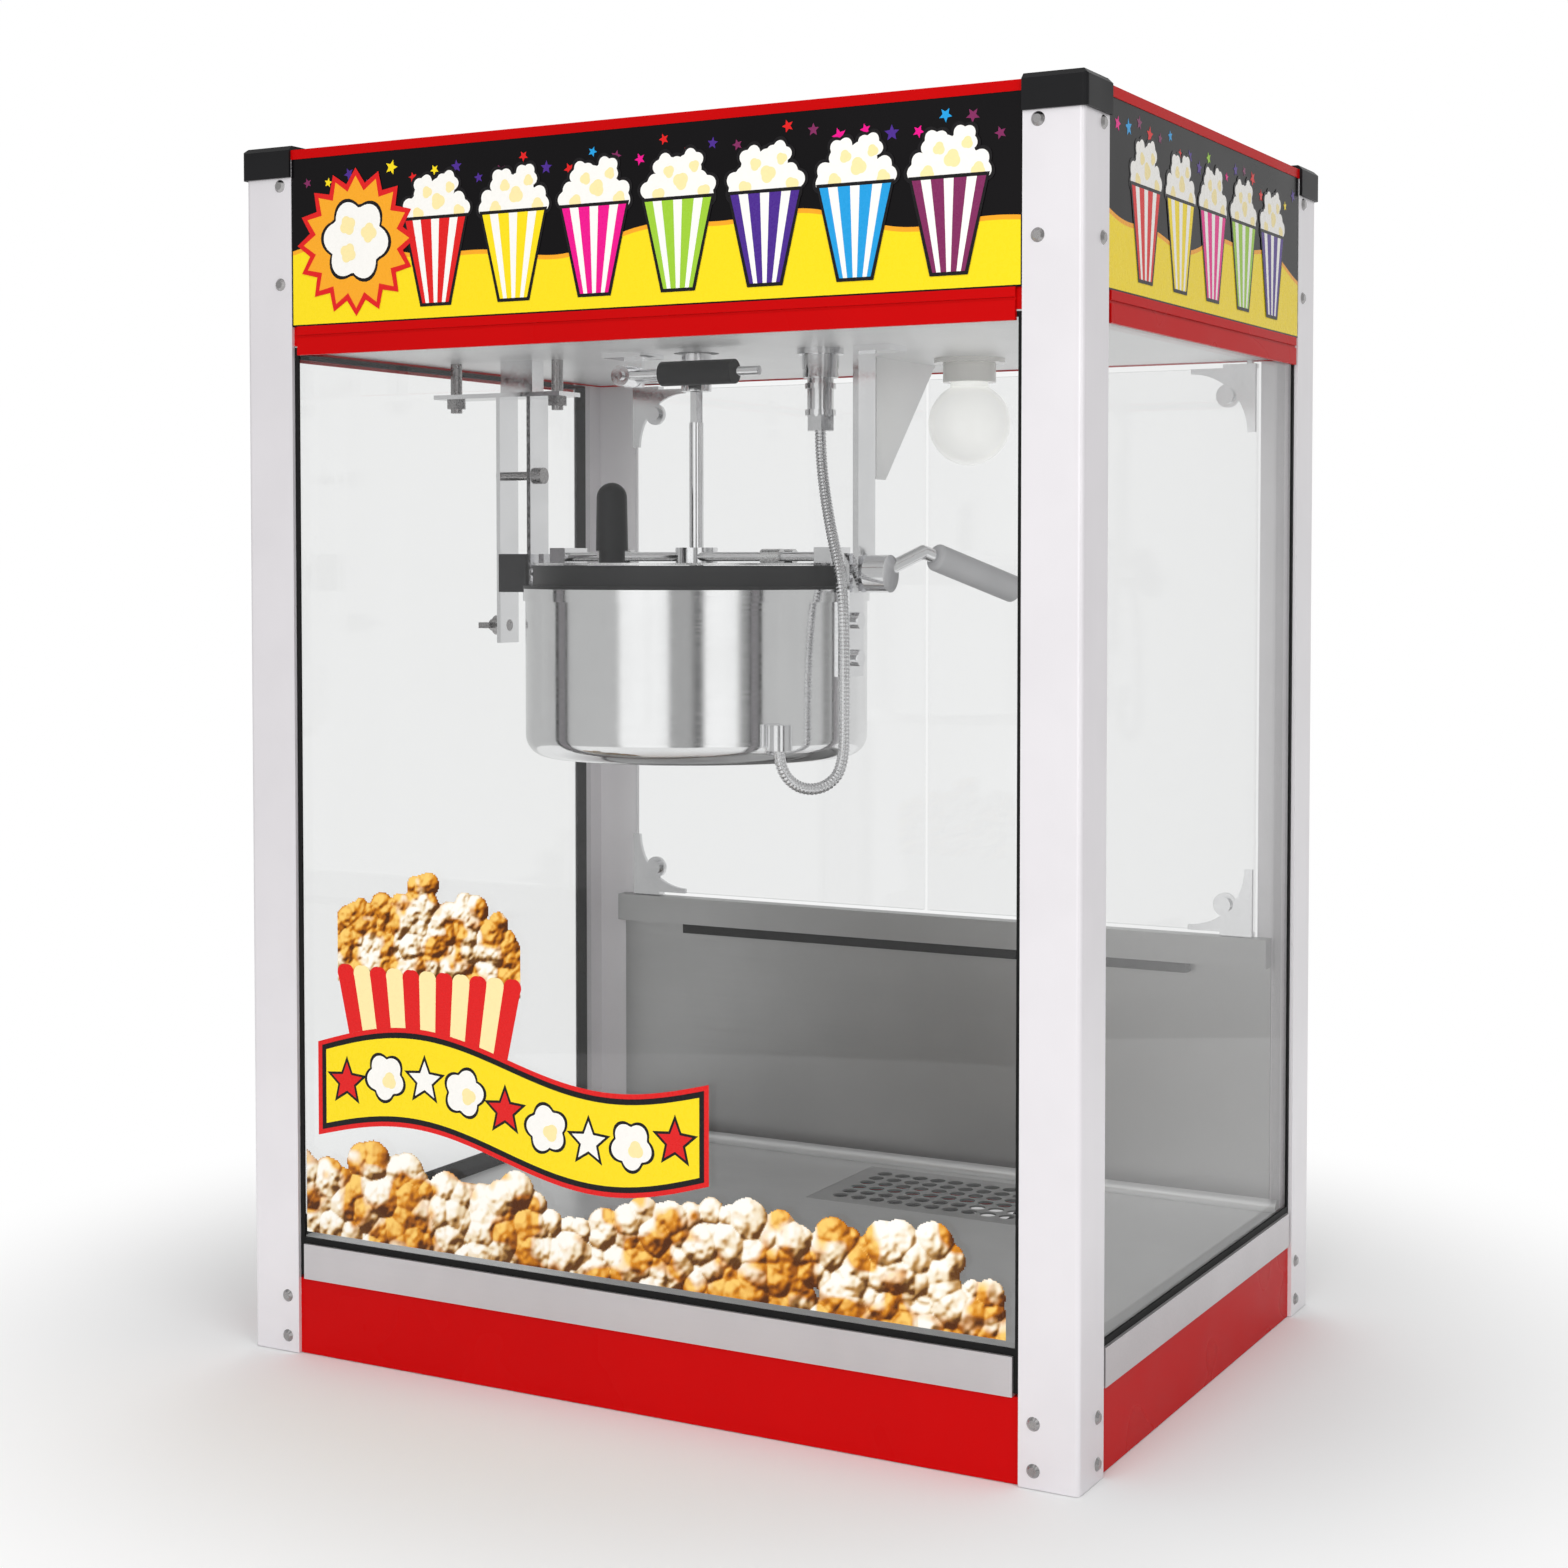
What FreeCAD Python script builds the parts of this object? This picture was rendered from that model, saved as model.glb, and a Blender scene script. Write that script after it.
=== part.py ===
import FreeCAD, Part
import math
import os
import re
import Sketcher

# Popcorn machine with a hanging kettle. Millimetres, +Z up, the origin at the middle of the
# underside, the glazed front towards -Y and the operator's doors towards +Y.

doc = FreeCAD.newDocument("PopcornMachine")
sheet = doc.addObject("Spreadsheet::Sheet", "Sizes")

# Driving sizes: alias and value
SIZES = {
    "cabinet_width": 572,
    "cabinet_depth": 416,
    "overall_height": 770,
    "post_leg": 36,
    "post_wall": 2.5,
    "post_round": 3,
    "cap_overhang": 2,
    "cap_height": 20,
    "cap_roof": 3,
    "cap_bevel": 3,
    "screw_radius": 4,
    "screw_proud": 1.6,
    "screw_inset": 9,
    "screw_low": 10,
    "screw_mid": 36,
    "screw_drop_top": 25,
    "screw_drop_low": 87,
    "base_height": 48.5,
    "gauge": 1.2,
    "tray_flange": 16,
    "sill_height": 22.5,
    "sill_wall": 2,
    "sill_end_gap": 4,
    "sill_inner_height": 10,
    "glass_gauge": 4,
    "glass_lap": 10,
    "seal_gauge": 1.5,
    "seal_sight": 4,
    "seal_lip": 3,
    "floor_height": 66,
    "fold_radius": 5,
    "screen_x": 52,
    "screen_rear_gap": 1.5,
    "screen_length": 164,
    "screen_width": 104,
    "screen_lip": 6,
    "screen_pitch": 14,
    "screen_hole_radius": 5.5,
    "rail_height": 18,
    "rail_depth": 3,
    "rail_groove": 1,
    "sign_gap": 3,
    "sign_height": 102,
    "sign_gauge": 2,
    "lip_height": 6,
    "lip_depth": 2.5,
    "ceiling_rise": 7,
    "hem_top": 250,
    "hem_height": 20,
    "hem_depth": 12.5,
    "hem_seal": 7,
    "hem_seal_inset": 1.5,
    "door_gauge": 5,
    "door_gap": 4,
    "door_edge_gap": 1.5,
    "door_axis_inset": 6,
    "hinge_width": 46,
    "hinge_height": 44,
    "hinge_gauge": 3,
    "hinge_shelf": 2.5,
    "hinge_pin_radius": 2.5,
    "hinge_pin_length": 12,
    "eye_radius": 5.4,
    "run_clear": 0.05,
    "slide_clear": 0.3,
    "kettle_x": -61,
    "kettle_y": -25,
    "tilt_drop": 145,
    "kettle_radius": 113,
    "kettle_drop": 120,
    "shell_wall": 1.2,
    "shell_round": 14,
    "rim_height": 8,
    "rim_drop": 10,
    "rim_proud": 1.5,
    "pan_side_gap": 5,
    "heater_space": 18,
    "pan_rise": 15,
    "pan_wall": 2,
    "pan_round": 18,
    "heater_ring": 70,
    "heater_tube": 4,
    "stat_radius": 10,
    "stat_height": 9,
    "stat_offset": 40,
    "gland_away": 6,
    "gland_rise": 10,
    "gland_radius": 8,
    "gland_length": 16,
    "ear_gauge": 4,
    "ear_width": 20,
    "ear_drop": 66,
    "ear_rise": 13,
    "ear_boss_radius": 5,
    "ear_boss_inset": 12,
    "ear_boss_pitch": 24,
    "trunnion_radius": 6,
    "hanger_gauge": 4,
    "hanger_width": 24,
    "hanger_foot": 26,
    "hanger_side_gap": 3.3,
    "strap_gauge": 3,
    "strap_gap": 22,
    "strap_side_gap": 6,
    "strap_width": 22,
    "strap_drop": 48,
    "block_height": 26,
    "block_width": 26,
    "hanger_plate_drop": 25,
    "hanger_plate_gauge": 3,
    "hanger_plate_right": 39,
    "hanger_plate_glass_gap": 13.3,
    "hanger_tab_length": 26,
    "hanger_tab_width": 14,
    "stud_radius": 4,
    "stud_inset": 10,
    "nut_radius": 7,
    "nut_height": 6,
    "stay_bolt_radius": 3,
    "thumb_rise": 12,
    "thumb_radius": 4,
    "thumb_wing": 13,
    "hub_radius": 12,
    "hub_length": 15,
    "handle_rod_radius": 4.5,
    "handle_grip_radius": 9,
    "handle_bend_reach": 8,
    "handle_bend_back": 31,
    "handle_bend_rise": 14,
    "handle_end_reach": 44,
    "handle_end_back": 97,
    "handle_end_drop": 11,
    "rod_radius": 3,
    "rod_offset": 9,
    "rod_rise": 6,
    "rod_inset": 4,
    "bridge_length": 9,
    "bridge_width": 28,
    "bridge_height": 12,
    "lid_edge_gap": 0.5,
    "lid_gauge": 1.5,
    "lid_lift": 0.4,
    "lid_hub_gap": 3,
    "knuckle_radius": 5,
    "knuckle_length": 14,
    "knuckle_offset": 62,
    "knob_left": 32,
    "knob_front": 54,
    "knob_radius": 10.5,
    "knob_height": 52,
    "hub_ring_radius": 14,
    "shaft_radius": 4.75,
    "shaft_foot": 2,
    "shaft_drop": 25.5,
    "drive_step": 0.15,
    "drive_length": 20,
    "drive_clear": 0.1,
    "blade_edge_gap": 16,
    "blade_height": 14,
    "blade_gauge": 3,
    "blade_hub_radius": 9,
    "blade_lift": 2,
    "sleeve_radius": 10,
    "sleeve_height": 26,
    "sleeve_rest_gap": 0.5,
    "sleeve_groove_low": 7,
    "sleeve_groove_width": 6,
    "sleeve_groove_depth": 3,
    "output_gap": 2.5,
    "output_radius": 6,
    "output_seat": 16,
    "gearbox_length": 84,
    "gearbox_width": 64,
    "gearbox_height": 34,
    "motor_radius": 29,
    "motor_height": 58,
    "shaft_hole_radius": 15,
    "lever_reach": 40,
    "lever_finger_gauge": 4,
    "lever_finger_gap": 5,
    "lever_finger_height": 9,
    "lever_pin_radius": 2.5,
    "lever_hub_radius": 7,
    "lever_hub_length": 16,
    "lever_rod_radius": 3,
    "lever_rod_offset": 28,
    "lever_rod_end": 63,
    "lever_grip_radius": 8,
    "lever_grip_start": -9,
    "lever_grip_length": 54,
    "lever_pivot_radius": 3,
    "bracket_gauge": 3,
    "bracket_length": 30,
    "plug_right": 91,
    "plug_back": 3,
    "socket_radius": 15,
    "socket_drop": 13,
    "plug_radius": 8.5,
    "plug_collar_radius": 11.5,
    "plug_collar": 6,
    "plug_length": 34,
    "plug_ring": 3.5,
    "clamp_length": 10,
    "clamp_radius": 9.5,
    "lead_radius": 3.75,
    "lead_plug_run": 18,
    "lead_gland_run": 12,
    "lamp_x": 80,
    "lamp_y": 100,
    "bulb_radius": 28,
    "bulb_drop": 44,
    "bulb_neck_radius": 13,
    "holder_radius": 18,
    "holder_flange_radius": 24,
    "holder_drop": 16,
    "holder_flange": 3,
    "shield_x": 31.5,
    "shield_width": 92,
    "shield_height": 82,
    "shield_tip": 14,
    "drawer_length": 180,
    "drawer_width": 236,
    "drawer_height": 36,
    "drawer_lift": 2,
    "notch_radius": 22,
    "inlet_edge_gap": 60,
    "inlet_length": 30,
    "inlet_height": 22,
    "inlet_depth": 24,
    "switch_pitch": 44,
    "switch_length": 18,
    "switch_height": 26,
    "switch_depth": 10,
    "switch_bezel": 3,
    "switch_pin_radius": 1.5,
    "switch_pin_reach": 1.8,
    "switch_pin_depth": 4,
}

# Places that follow from the sizes: alias and formula
PLACES = {
    "lip_low": "overall_height - cap_roof - lip_height",
    "sign_low": "lip_low - sign_height",
    "ceiling": "sign_low - sign_gap - rail_height + ceiling_rise",
    "switch_z": "(sign_low + lip_low)/2",
    "tilt_height": "ceiling - tilt_drop",
    "kettle_bottom": "tilt_height - kettle_drop",
    "rim_top": "tilt_height - rim_drop",
    "rim_bottom": "rim_top - rim_height",
    "pan_radius": "kettle_radius - pan_side_gap",
    "pan_floor": "kettle_bottom + heater_space",
    "pan_top": "rim_top + pan_rise",
    "gland_x": "kettle_x + 0.829*(kettle_radius + gland_away)",
    "gland_y": "kettle_y - 0.559*(kettle_radius + gland_away)",
    "gland_low": "kettle_bottom + gland_rise",
    "ear_low": "tilt_height - ear_drop",
    "ear_high": "tilt_height + ear_rise",
    "ear_boss_low": "ear_low + ear_boss_inset",
    "ear_boss_high": "ear_boss_low + ear_boss_pitch",
    "strap_low": "tilt_height - strap_drop",
    "hanger_plate_height": "ceiling - hanger_plate_drop",
    "stay_bolt_height": "(tilt_height + block_height/2 + hanger_plate_height)/2",
    "thumb_height": "strap_low + thumb_rise",
    "rod_height": "pan_top + rod_rise",
    "rod_reach": "pan_radius - rod_inset",
    "lid_radius": "pan_radius - lid_edge_gap",
    "knob_x": "kettle_x - knob_left",
    "knob_y": "kettle_y - knob_front",
    "shaft_top": "ceiling - shaft_drop",
    "drive_flat_radius": "shaft_radius - drive_step",
    "blade_reach": "pan_radius - blade_edge_gap",
    "plug_x": "kettle_x + plug_right",
    "plug_y": "kettle_y + plug_back",
    "inlet_x": "post_leg + inlet_edge_gap - cabinet_width/2",
    "inlet_z": "base_height/2",
    "screen_y": "cabinet_depth/2 - post_wall - gauge - hem_depth - 2*fold_radius - screen_rear_gap"
                " - screen_lip - screen_width/2",
}
for row, (alias, value) in enumerate([*SIZES.items(), *PLACES.items()], start=1):
    sheet.set(f"A{row}", alias)
    sheet.setAlias(f"B{row}", alias)
    sheet.set(f"B{row}", f"={value}")
doc.recompute()

# Derived places, written as formulas of the sheet's cells
HALF_W = "(cabinet_width/2)"
HALF_D = "(cabinet_depth/2)"
INNER_W = "(cabinet_width/2 - post_wall)"
INNER_D = "(cabinet_depth/2 - post_wall)"
EDGE_W = "(cabinet_width/2 - post_leg)"
EDGE_D = "(cabinet_depth/2 - post_leg)"
TOP = "(overall_height - cap_roof)"
LIP_LOW = "lip_low"
SIGN_LOW = "sign_low"
RAIL_LOW = "(sign_low - sign_gap - rail_height)"
CEILING = "ceiling"
SILL_TOP = "(base_height + sill_height)"
GLASS_LOW = "(base_height + sill_wall)"
GLASS_TOP = f"({CEILING} - 2)"
GLASS_OUT = "(post_wall + seal_gauge)"
GLASS_IN = "(post_wall + seal_gauge + glass_gauge)"
DOOR_LOW = "(hem_top + 0.5 + hinge_shelf)"
DOOR_TOP = f"({CEILING} - 2.5 - hinge_shelf)"
DOOR_OUT = f"({INNER_D})"
DOOR_IN = f"({INNER_D} - door_gauge)"
DOOR_AXIS_X = f"({EDGE_W} - door_axis_inset)"
DOOR_AXIS_Y = DOOR_IN
RIM_OUT = "(kettle_radius + rim_proud)"
EAR_IN = f"({RIM_OUT} + 0.2)"
EAR_OUT = f"({EAR_IN} + ear_gauge)"
SLEEVE_LOW = "(shaft_top + sleeve_rest_gap)"
GROOVE_MID = f"({SLEEVE_LOW} + sleeve_groove_low + sleeve_groove_width/2)"
LEVER_X = "(kettle_x - lever_reach)"
FINGER_BACK = "(kettle_y - sleeve_radius - lever_finger_gap)"

NAME = re.compile(r"[A-Za-z_][A-Za-z_0-9]*")
NAMED = {*SIZES, *PLACES}
nodes = []


def cells(formula):
    """Write a formula of aliases as an expression on the sheet."""
    return NAME.sub(lambda word: "Sizes." + word.group(0) if word.group(0) in NAMED else word.group(0),
                    str(formula))


def size(alias):
    """Read one size or place from the sheet."""
    return float(sheet.get(alias))


def bind(thing, **formulas):
    """Bind properties of a document object to formulas."""
    for prop, formula in formulas.items():
        thing.setExpression(prop, cells(formula))
    return thing


def place(thing, x, y, z, turn=None):
    """Bind a place, after an optional turn (axis, degrees)."""
    if turn:
        axis, angle = turn
        thing.Placement = FreeCAD.Placement(FreeCAD.Vector(0, 0, 0),
                                            FreeCAD.Rotation(FreeCAD.Vector(*axis), angle))
    for letter, formula in zip("xyz", (x, y, z)):
        thing.setExpression("Placement.Base." + letter, cells(formula))
    return thing


def box(x, y, z):
    """Box between two formulas on each axis."""
    solid = doc.addObject("Part::Box", "Box")
    for prop, (low, high) in zip(("Length", "Width", "Height"), (x, y, z)):
        solid.setExpression(prop, cells(f"({high}) - ({low})"))
    return place(solid, x[0], y[0], z[0])


def centred(middle, length):
    """Low and high formulas of a length about its middle."""
    return (f"({middle}) - ({length})/2", f"({middle}) + ({length})/2")


def both(half):
    """Low and high formulas at either side of zero."""
    return (f"-({half})", f"({half})")


def side(sign, near, far):
    """Low and high formulas of a span on the plus or minus side."""
    return (near, far) if sign > 0 else (f"-({far})", f"-({near})")


TURNS = {"x": ((0, 1, 0), 90), "y": ((1, 0, 0), -90), "z": None}


def rod(radius, span, across, along="z"):
    """Cylinder along an axis: its span there, and its place on the other two axes."""
    solid = bind(doc.addObject("Part::Cylinder", "Rod"), Radius=radius, Height=f"({span[1]}) - ({span[0]})")
    spot = list(across)
    spot.insert("xyz".index(along), span[0])
    return place(solid, *spot, turn=TURNS[along])


def cone(low_radius, high_radius, span, across):
    """Upright cone."""
    solid = bind(doc.addObject("Part::Cone", "Cone"), Radius1=low_radius, Radius2=high_radius,
                 Height=f"({span[1]}) - ({span[0]})")
    return place(solid, across[0], across[1], span[0])


def ball(radius, x, y, z):
    """Whole sphere."""
    return place(bind(doc.addObject("Part::Sphere", "Ball"), Radius=radius), x, y, z)


def hexagon(radius, span, across):
    """Upright hexagonal bar by its corner radius."""
    solid = doc.addObject("Part::Prism", "Hexagon")
    solid.Polygon = 6
    bind(solid, Circumradius=radius, Height=f"({span[1]}) - ({span[0]})")
    return place(solid, across[0], across[1], span[0])


def fuse(*solids):
    """One solid from several that meet."""
    joined = doc.addObject("Part::MultiFuse", "Fuse")
    joined.Shapes = list(solids)
    joined.Refine = True
    return joined


def cut(base, *tools):
    """A solid less its tools."""
    less = doc.addObject("Part::Cut", "Cut")
    less.Base = base
    less.Tool = tools[0] if len(tools) == 1 else fuse(*tools)
    return less


def group(*solids):
    """Separate solids that share one node."""
    held = doc.addObject("Part::Compound", "Group")
    held.Links = list(solids)
    return held


def node(label, thing):
    """Name a finished sub-part."""
    thing.Label = label
    nodes.append(thing)
    return thing


def plane(body, role):
    """One of a body's own origin planes."""
    return next(item for item in body.Origin.OriginFeatures if item.Role == role)


def outline(body, role, points, circles=()):
    """Closed straight outline, and holes, with every corner bound to formulas."""
    sketch = body.newObject("Sketcher::SketchObject", "Outline")
    sketch.AttachmentSupport = [(plane(body, role), "")]
    sketch.MapMode = "FlatFace"
    count = len(points)
    ring_radius = size("post_leg")
    spots = [FreeCAD.Vector(ring_radius * math.cos(math.tau * i / count),
                            ring_radius * math.sin(math.tau * i / count), 0) for i in range(count)]
    for i in range(count):
        sketch.addGeometry(Part.LineSegment(spots[i], spots[(i + 1) % count]))
    for i in range(count):
        sketch.addConstraint(Sketcher.Constraint("Coincident", i, 2, (i + 1) % count, 1))
    for i, point in enumerate(points):
        for kind, formula in zip(("DistanceX", "DistanceY"), point):
            index = sketch.addConstraint(Sketcher.Constraint(kind, -1, 1, i, 1, spots[i].x or 1.0))
            sketch.setExpression(f"Constraints[{index}]", cells(formula))
    for x, y, radius in circles:
        ring = sketch.addGeometry(Part.Circle(FreeCAD.Vector(1, 1, 0), FreeCAD.Vector(0, 0, 1), 1))
        for kind, formula in (("DistanceX", x), ("DistanceY", y)):
            index = sketch.addConstraint(Sketcher.Constraint(kind, -1, 1, ring, 3, 1.0))
            sketch.setExpression(f"Constraints[{index}]", cells(formula))
        index = sketch.addConstraint(Sketcher.Constraint("Radius", ring, 1.0))
        sketch.setExpression(f"Constraints[{index}]", cells(radius))
    return sketch


def padded(role, points, length, circles=(), midplane=False):
    """Body padded from an outline on one of its planes."""
    body = doc.addObject("PartDesign::Body", "Body")
    pad = body.newObject("PartDesign::Pad", "Pad")
    pad.Profile = outline(body, role, points, circles)
    pad.Midplane = midplane
    bind(pad, Length=length)
    doc.recompute()
    return body


def turned(points):
    """Body turned about +Z from an outline of radius and height."""
    body = doc.addObject("PartDesign::Body", "Body")
    sketch = outline(body, "XZ_Plane", points)
    turn = body.newObject("PartDesign::Revolution", "Turn")
    turn.Profile = sketch
    turn.ReferenceAxis = (sketch, ["V_Axis"])
    turn.Angle = 360
    doc.recompute()
    return body


def edges_where(body, test):
    """Names of the body's edges that pass a test."""
    return [f"Edge{i}" for i, edge in enumerate(body.Shape.Edges, start=1) if test(edge)]


def rounded(body, test, radius, kind="Fillet", prop="Radius"):
    """Fillet or chamfer the chosen edges of a body."""
    base = body.Tip
    names = edges_where(body, test)
    feature = body.newObject("PartDesign::" + kind, kind)
    feature.Base = (base, names)
    bind(feature, **{prop: radius})
    doc.recompute()
    return body


def mid(edge):
    """Middle point of an edge."""
    return edge.valueAt((edge.FirstParameter + edge.LastParameter) / 2)


def is_ring(edge, radius, height):
    """Tell a level circle of this radius and height about the body's axis."""
    curve = edge.Curve
    return (isinstance(curve, Part.Circle) and abs(curve.Radius - radius) < 0.01
            and abs(curve.Center.z - height) < 0.01)


# Corner posts, caps and screws
CORNERS = {"front_left": (-1, -1, 0), "front_right": (1, -1, 90), "rear_right": (1, 1, 180),
           "rear_left": (-1, 1, 270)}


def corner_post(name, sx, sy, angle):
    """L-section post with a rounded outer corner, its legs pointing into the cabinet."""
    legs = [("0", "0"), ("post_leg", "0"), ("post_leg", "post_wall"), ("post_wall", "post_wall"),
            ("post_wall", "post_leg"), ("0", "post_leg")]
    post = padded("XY_Plane", legs, TOP)
    rounded(post, lambda edge: mid(edge).x < 0.01 and mid(edge).y < 0.01 and edge.Length > size("post_leg"),
            "post_round")
    place(post, f"{sx}*{HALF_W}", f"{sy}*{HALF_D}", "0", ((0, 0, 1), angle))
    node("post_" + name, post)


def corner_cap(sx, sy, angle):
    """Cap over a post: a roof and two outer skirts, bevelled along its outer top edges."""
    reach = "(post_leg + cap_overhang)"
    square = [("0", "0"), (reach, "0"), (reach, reach), ("0", reach)]
    cap = padded("XY_Plane", square, "cap_height")
    top = size("cap_height")
    rounded(cap, lambda edge: abs(mid(edge).z - top) < 0.01 and min(mid(edge).x, mid(edge).y) < 0.01,
            "cap_bevel", "Chamfer", "Size")
    rounded(cap, lambda edge: mid(edge).x < 0.01 and mid(edge).y < 0.01 and mid(edge).z < top,
            "post_round")
    pocket = body_pocket(cap)
    place(cap, f"{sx}*({HALF_W} + cap_overhang)", f"{sy}*({HALF_D} + cap_overhang)",
          "overall_height - cap_height", ((0, 0, 1), angle))
    return pocket


def body_pocket(cap):
    """Hollow the cap from below, so that it drops over the post."""
    before = cap.Shape.Volume
    inner = [("cap_overhang", "cap_overhang"), ("post_leg + cap_overhang + 1", "cap_overhang"),
             ("post_leg + cap_overhang + 1", "post_leg + cap_overhang + 1"),
             ("cap_overhang", "post_leg + cap_overhang + 1")]
    hollow = cap.newObject("PartDesign::Pocket", "Hollow")
    hollow.Profile = outline(cap, "XY_Plane", inner)
    hollow.Reversed = True
    bind(hollow, Length="cap_height - cap_roof")
    doc.recompute()
    assert cap.Shape.Volume < before
    return cap


def screw_head(face, along, sign, across, height):
    """Domed screw head on a post's face: a short cone that stands on the face."""
    head = bind(doc.addObject("Part::Cone", "Screw"), Radius1="screw_radius", Radius2="screw_radius*0.6",
                Height="screw_proud")
    turn = {"x": ((0, 1, 0), 90 * sign), "y": ((1, 0, 0), -90 * sign)}[along]
    spot = (face, across, height) if along == "x" else (across, face, height)
    return place(head, *spot, turn=turn)


def post_screws():
    """Two screws high and two low, on both faces of each post."""
    heights = ("screw_low", "screw_mid", "overall_height - screw_drop_top", "overall_height - screw_drop_low")
    heads = []
    for sx, sy, _ in CORNERS.values():
        for height in heights:
            heads.append(screw_head(f"{sy}*{HALF_D}", "y", sy, f"{sx}*({EDGE_W} + screw_inset)", height))
            heads.append(screw_head(f"{sx}*{HALF_W}", "x", sx, f"{sy}*({EDGE_D} + screw_inset)", height))
    node("post_screws", group(*heads))


for post_name, corner in CORNERS.items():
    corner_post(post_name, *corner)
node("corner_caps", group(*[corner_cap(*corner) for corner in CORNERS.values()]))
post_screws()

# Base tray, mains inlet and crumb drawer
INLET_X = centred("inlet_x", "inlet_length")
INLET_Z = centred("inlet_z", "inlet_height")
DRAWER_X = centred("screen_x", "drawer_width")
DRAWER_Z = ("gauge + drawer_lift", "gauge + drawer_lift + drawer_height")
DRAWER_FRONT = f"({INNER_D})"


def base_tray():
    """Folded tray: a floor, four walls and an inward flange, with openings in its rear wall."""
    skin = box(both(INNER_W), both(INNER_D), ("0", "base_height"))
    hollow = box(both(f"{INNER_W} - gauge"), both(f"{INNER_D} - gauge"), ("gauge", "base_height - gauge"))
    mouth = box(both(f"{INNER_W} - tray_flange"), both(f"{INNER_D} - tray_flange"),
                ("base_height - 2*gauge", "base_height + 1"))
    rear = (f"{INNER_D} - tray_flange - 1", f"{INNER_D} + 1")
    drawer_slot = box((f"{DRAWER_X[0]} - slide_clear", f"{DRAWER_X[1]} + slide_clear"), rear,
                      ("gauge", f"{DRAWER_Z[1]} + slide_clear"))
    inlet_slot = box(INLET_X, (f"{INNER_D} - gauge - 1", f"{INNER_D} + 1"), INLET_Z)
    node("base_tray", cut(skin, hollow, mouth, drawer_slot, inlet_slot))


def mains_inlet():
    """Inlet housing in the rear wall, with its socket and three blades."""
    housing = box(INLET_X, (f"{INNER_D} - inlet_depth", INNER_D), INLET_Z)
    socket = box(centred("inlet_x", "inlet_length - 6"), (f"{INNER_D} - inlet_depth + 4", f"{INNER_D} + 1"),
                 centred("inlet_z", "inlet_height - 6"))
    blades = [box(centred(f"inlet_x + {step}*inlet_length/4", "2"),
                  (f"{INNER_D} - inlet_depth + 3", f"{INNER_D} - 4"),
                  centred(f"inlet_z + {lift}", "4")) for step, lift in ((-1, -2), (0, 2), (1, -2))]
    node("mains_inlet", fuse(cut(housing, socket), *blades))


def crumb_drawer():
    """Open tray under the screen, with a finger notch in its front."""
    depth = (f"{DRAWER_FRONT} - drawer_length", DRAWER_FRONT)
    skin = box(DRAWER_X, depth, DRAWER_Z)
    hollow = box((f"{DRAWER_X[0]} + gauge", f"{DRAWER_X[1]} - gauge"),
                 (f"{depth[0]} + gauge", f"{depth[1]} - gauge"), (f"{DRAWER_Z[0]} + gauge", f"{DRAWER_Z[1]} + 1"))
    notch = rod("notch_radius", (f"{DRAWER_FRONT} - 2*gauge", f"{DRAWER_FRONT} + 1"),
                ("screen_x", f"{DRAWER_Z[1]} + notch_radius/2"), "y")
    runners = [box(centred(f"screen_x + {sign}*drawer_width/3", "8"), depth,
                   ("gauge", f"{DRAWER_Z[0]} + 0.1")) for sign in (-1, 1)]
    node("crumb_drawer", fuse(cut(skin, hollow, notch), *runners))


base_tray()
mains_inlet()
crumb_drawer()

# Glazing: sill rails, panes and seals. Each face is a span along it and a depth from its outside.


def wall_box(face, along, depth, z):
    """Box on the front (-y), left (-x) or right (+x) face, by depth inwards from the posts' outside."""
    near, far = depth
    if face == "front":
        return box(along, (f"-{HALF_D} + ({near})", f"-{HALF_D} + ({far})"), z)
    sign = -1 if face == "left" else 1
    return box(side(sign, f"{HALF_W} - ({far})", f"{HALF_W} - ({near})"), along, z)


FACES = {"front": EDGE_W, "left": EDGE_D, "right": EDGE_D}


def sill_rail(face, edge):
    """Channel that the pane stands in: an outer plate, a floor and a low inner wall."""
    along = both(f"{edge} - sill_end_gap")
    inner = f"{GLASS_IN} + slide_clear"
    plate = wall_box(face, along, ("post_wall - sill_wall", "post_wall"), ("base_height", SILL_TOP))
    floor = wall_box(face, along, ("post_wall - sill_wall", f"{inner} + sill_wall"),
                     ("base_height", GLASS_LOW))
    lip = wall_box(face, along, (inner, f"{inner} + sill_wall"),
                   ("base_height", f"{GLASS_LOW} + sill_inner_height"))
    return fuse(plate, floor, lip)


def pane(face, edge):
    """Glass pane, which laps behind the posts' legs."""
    return wall_box(face, both(f"{edge} + glass_lap"), (GLASS_OUT, GLASS_IN), (GLASS_LOW, GLASS_TOP))


def seal(face, edge):
    """Rubber frame between the posts' legs and the pane."""
    depth = ("post_wall", GLASS_OUT)
    frame = wall_box(face, both(f"{edge} + glass_lap"), depth, (GLASS_LOW, GLASS_TOP))
    sight = wall_box(face, both(f"{edge} - seal_lip"), ("post_wall - 1", f"{GLASS_OUT} + 0.2"),
                     (f"{SILL_TOP} + seal_sight", f"{RAIL_LOW} + 2"))
    return cut(frame, sight)


def hem_seal():
    """Rubber strip under the rear panel's hem rail, between the hinge clamps."""
    return box(both(f"{EDGE_W} - door_edge_gap - hinge_width"),
               (f"{INNER_D} - hem_depth + hem_seal_inset", f"{INNER_D} - gauge"),
               ("hem_top - hem_height - hem_seal", "hem_top - hem_height"))


node("sill_rails", group(*[sill_rail(*item) for item in FACES.items()]))
node("glass_seals", group(*[seal(*item) for item in FACES.items()], hem_seal()))
for face_name, face_edge in FACES.items():
    node(face_name + "_glass", pane(face_name, face_edge))

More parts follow.
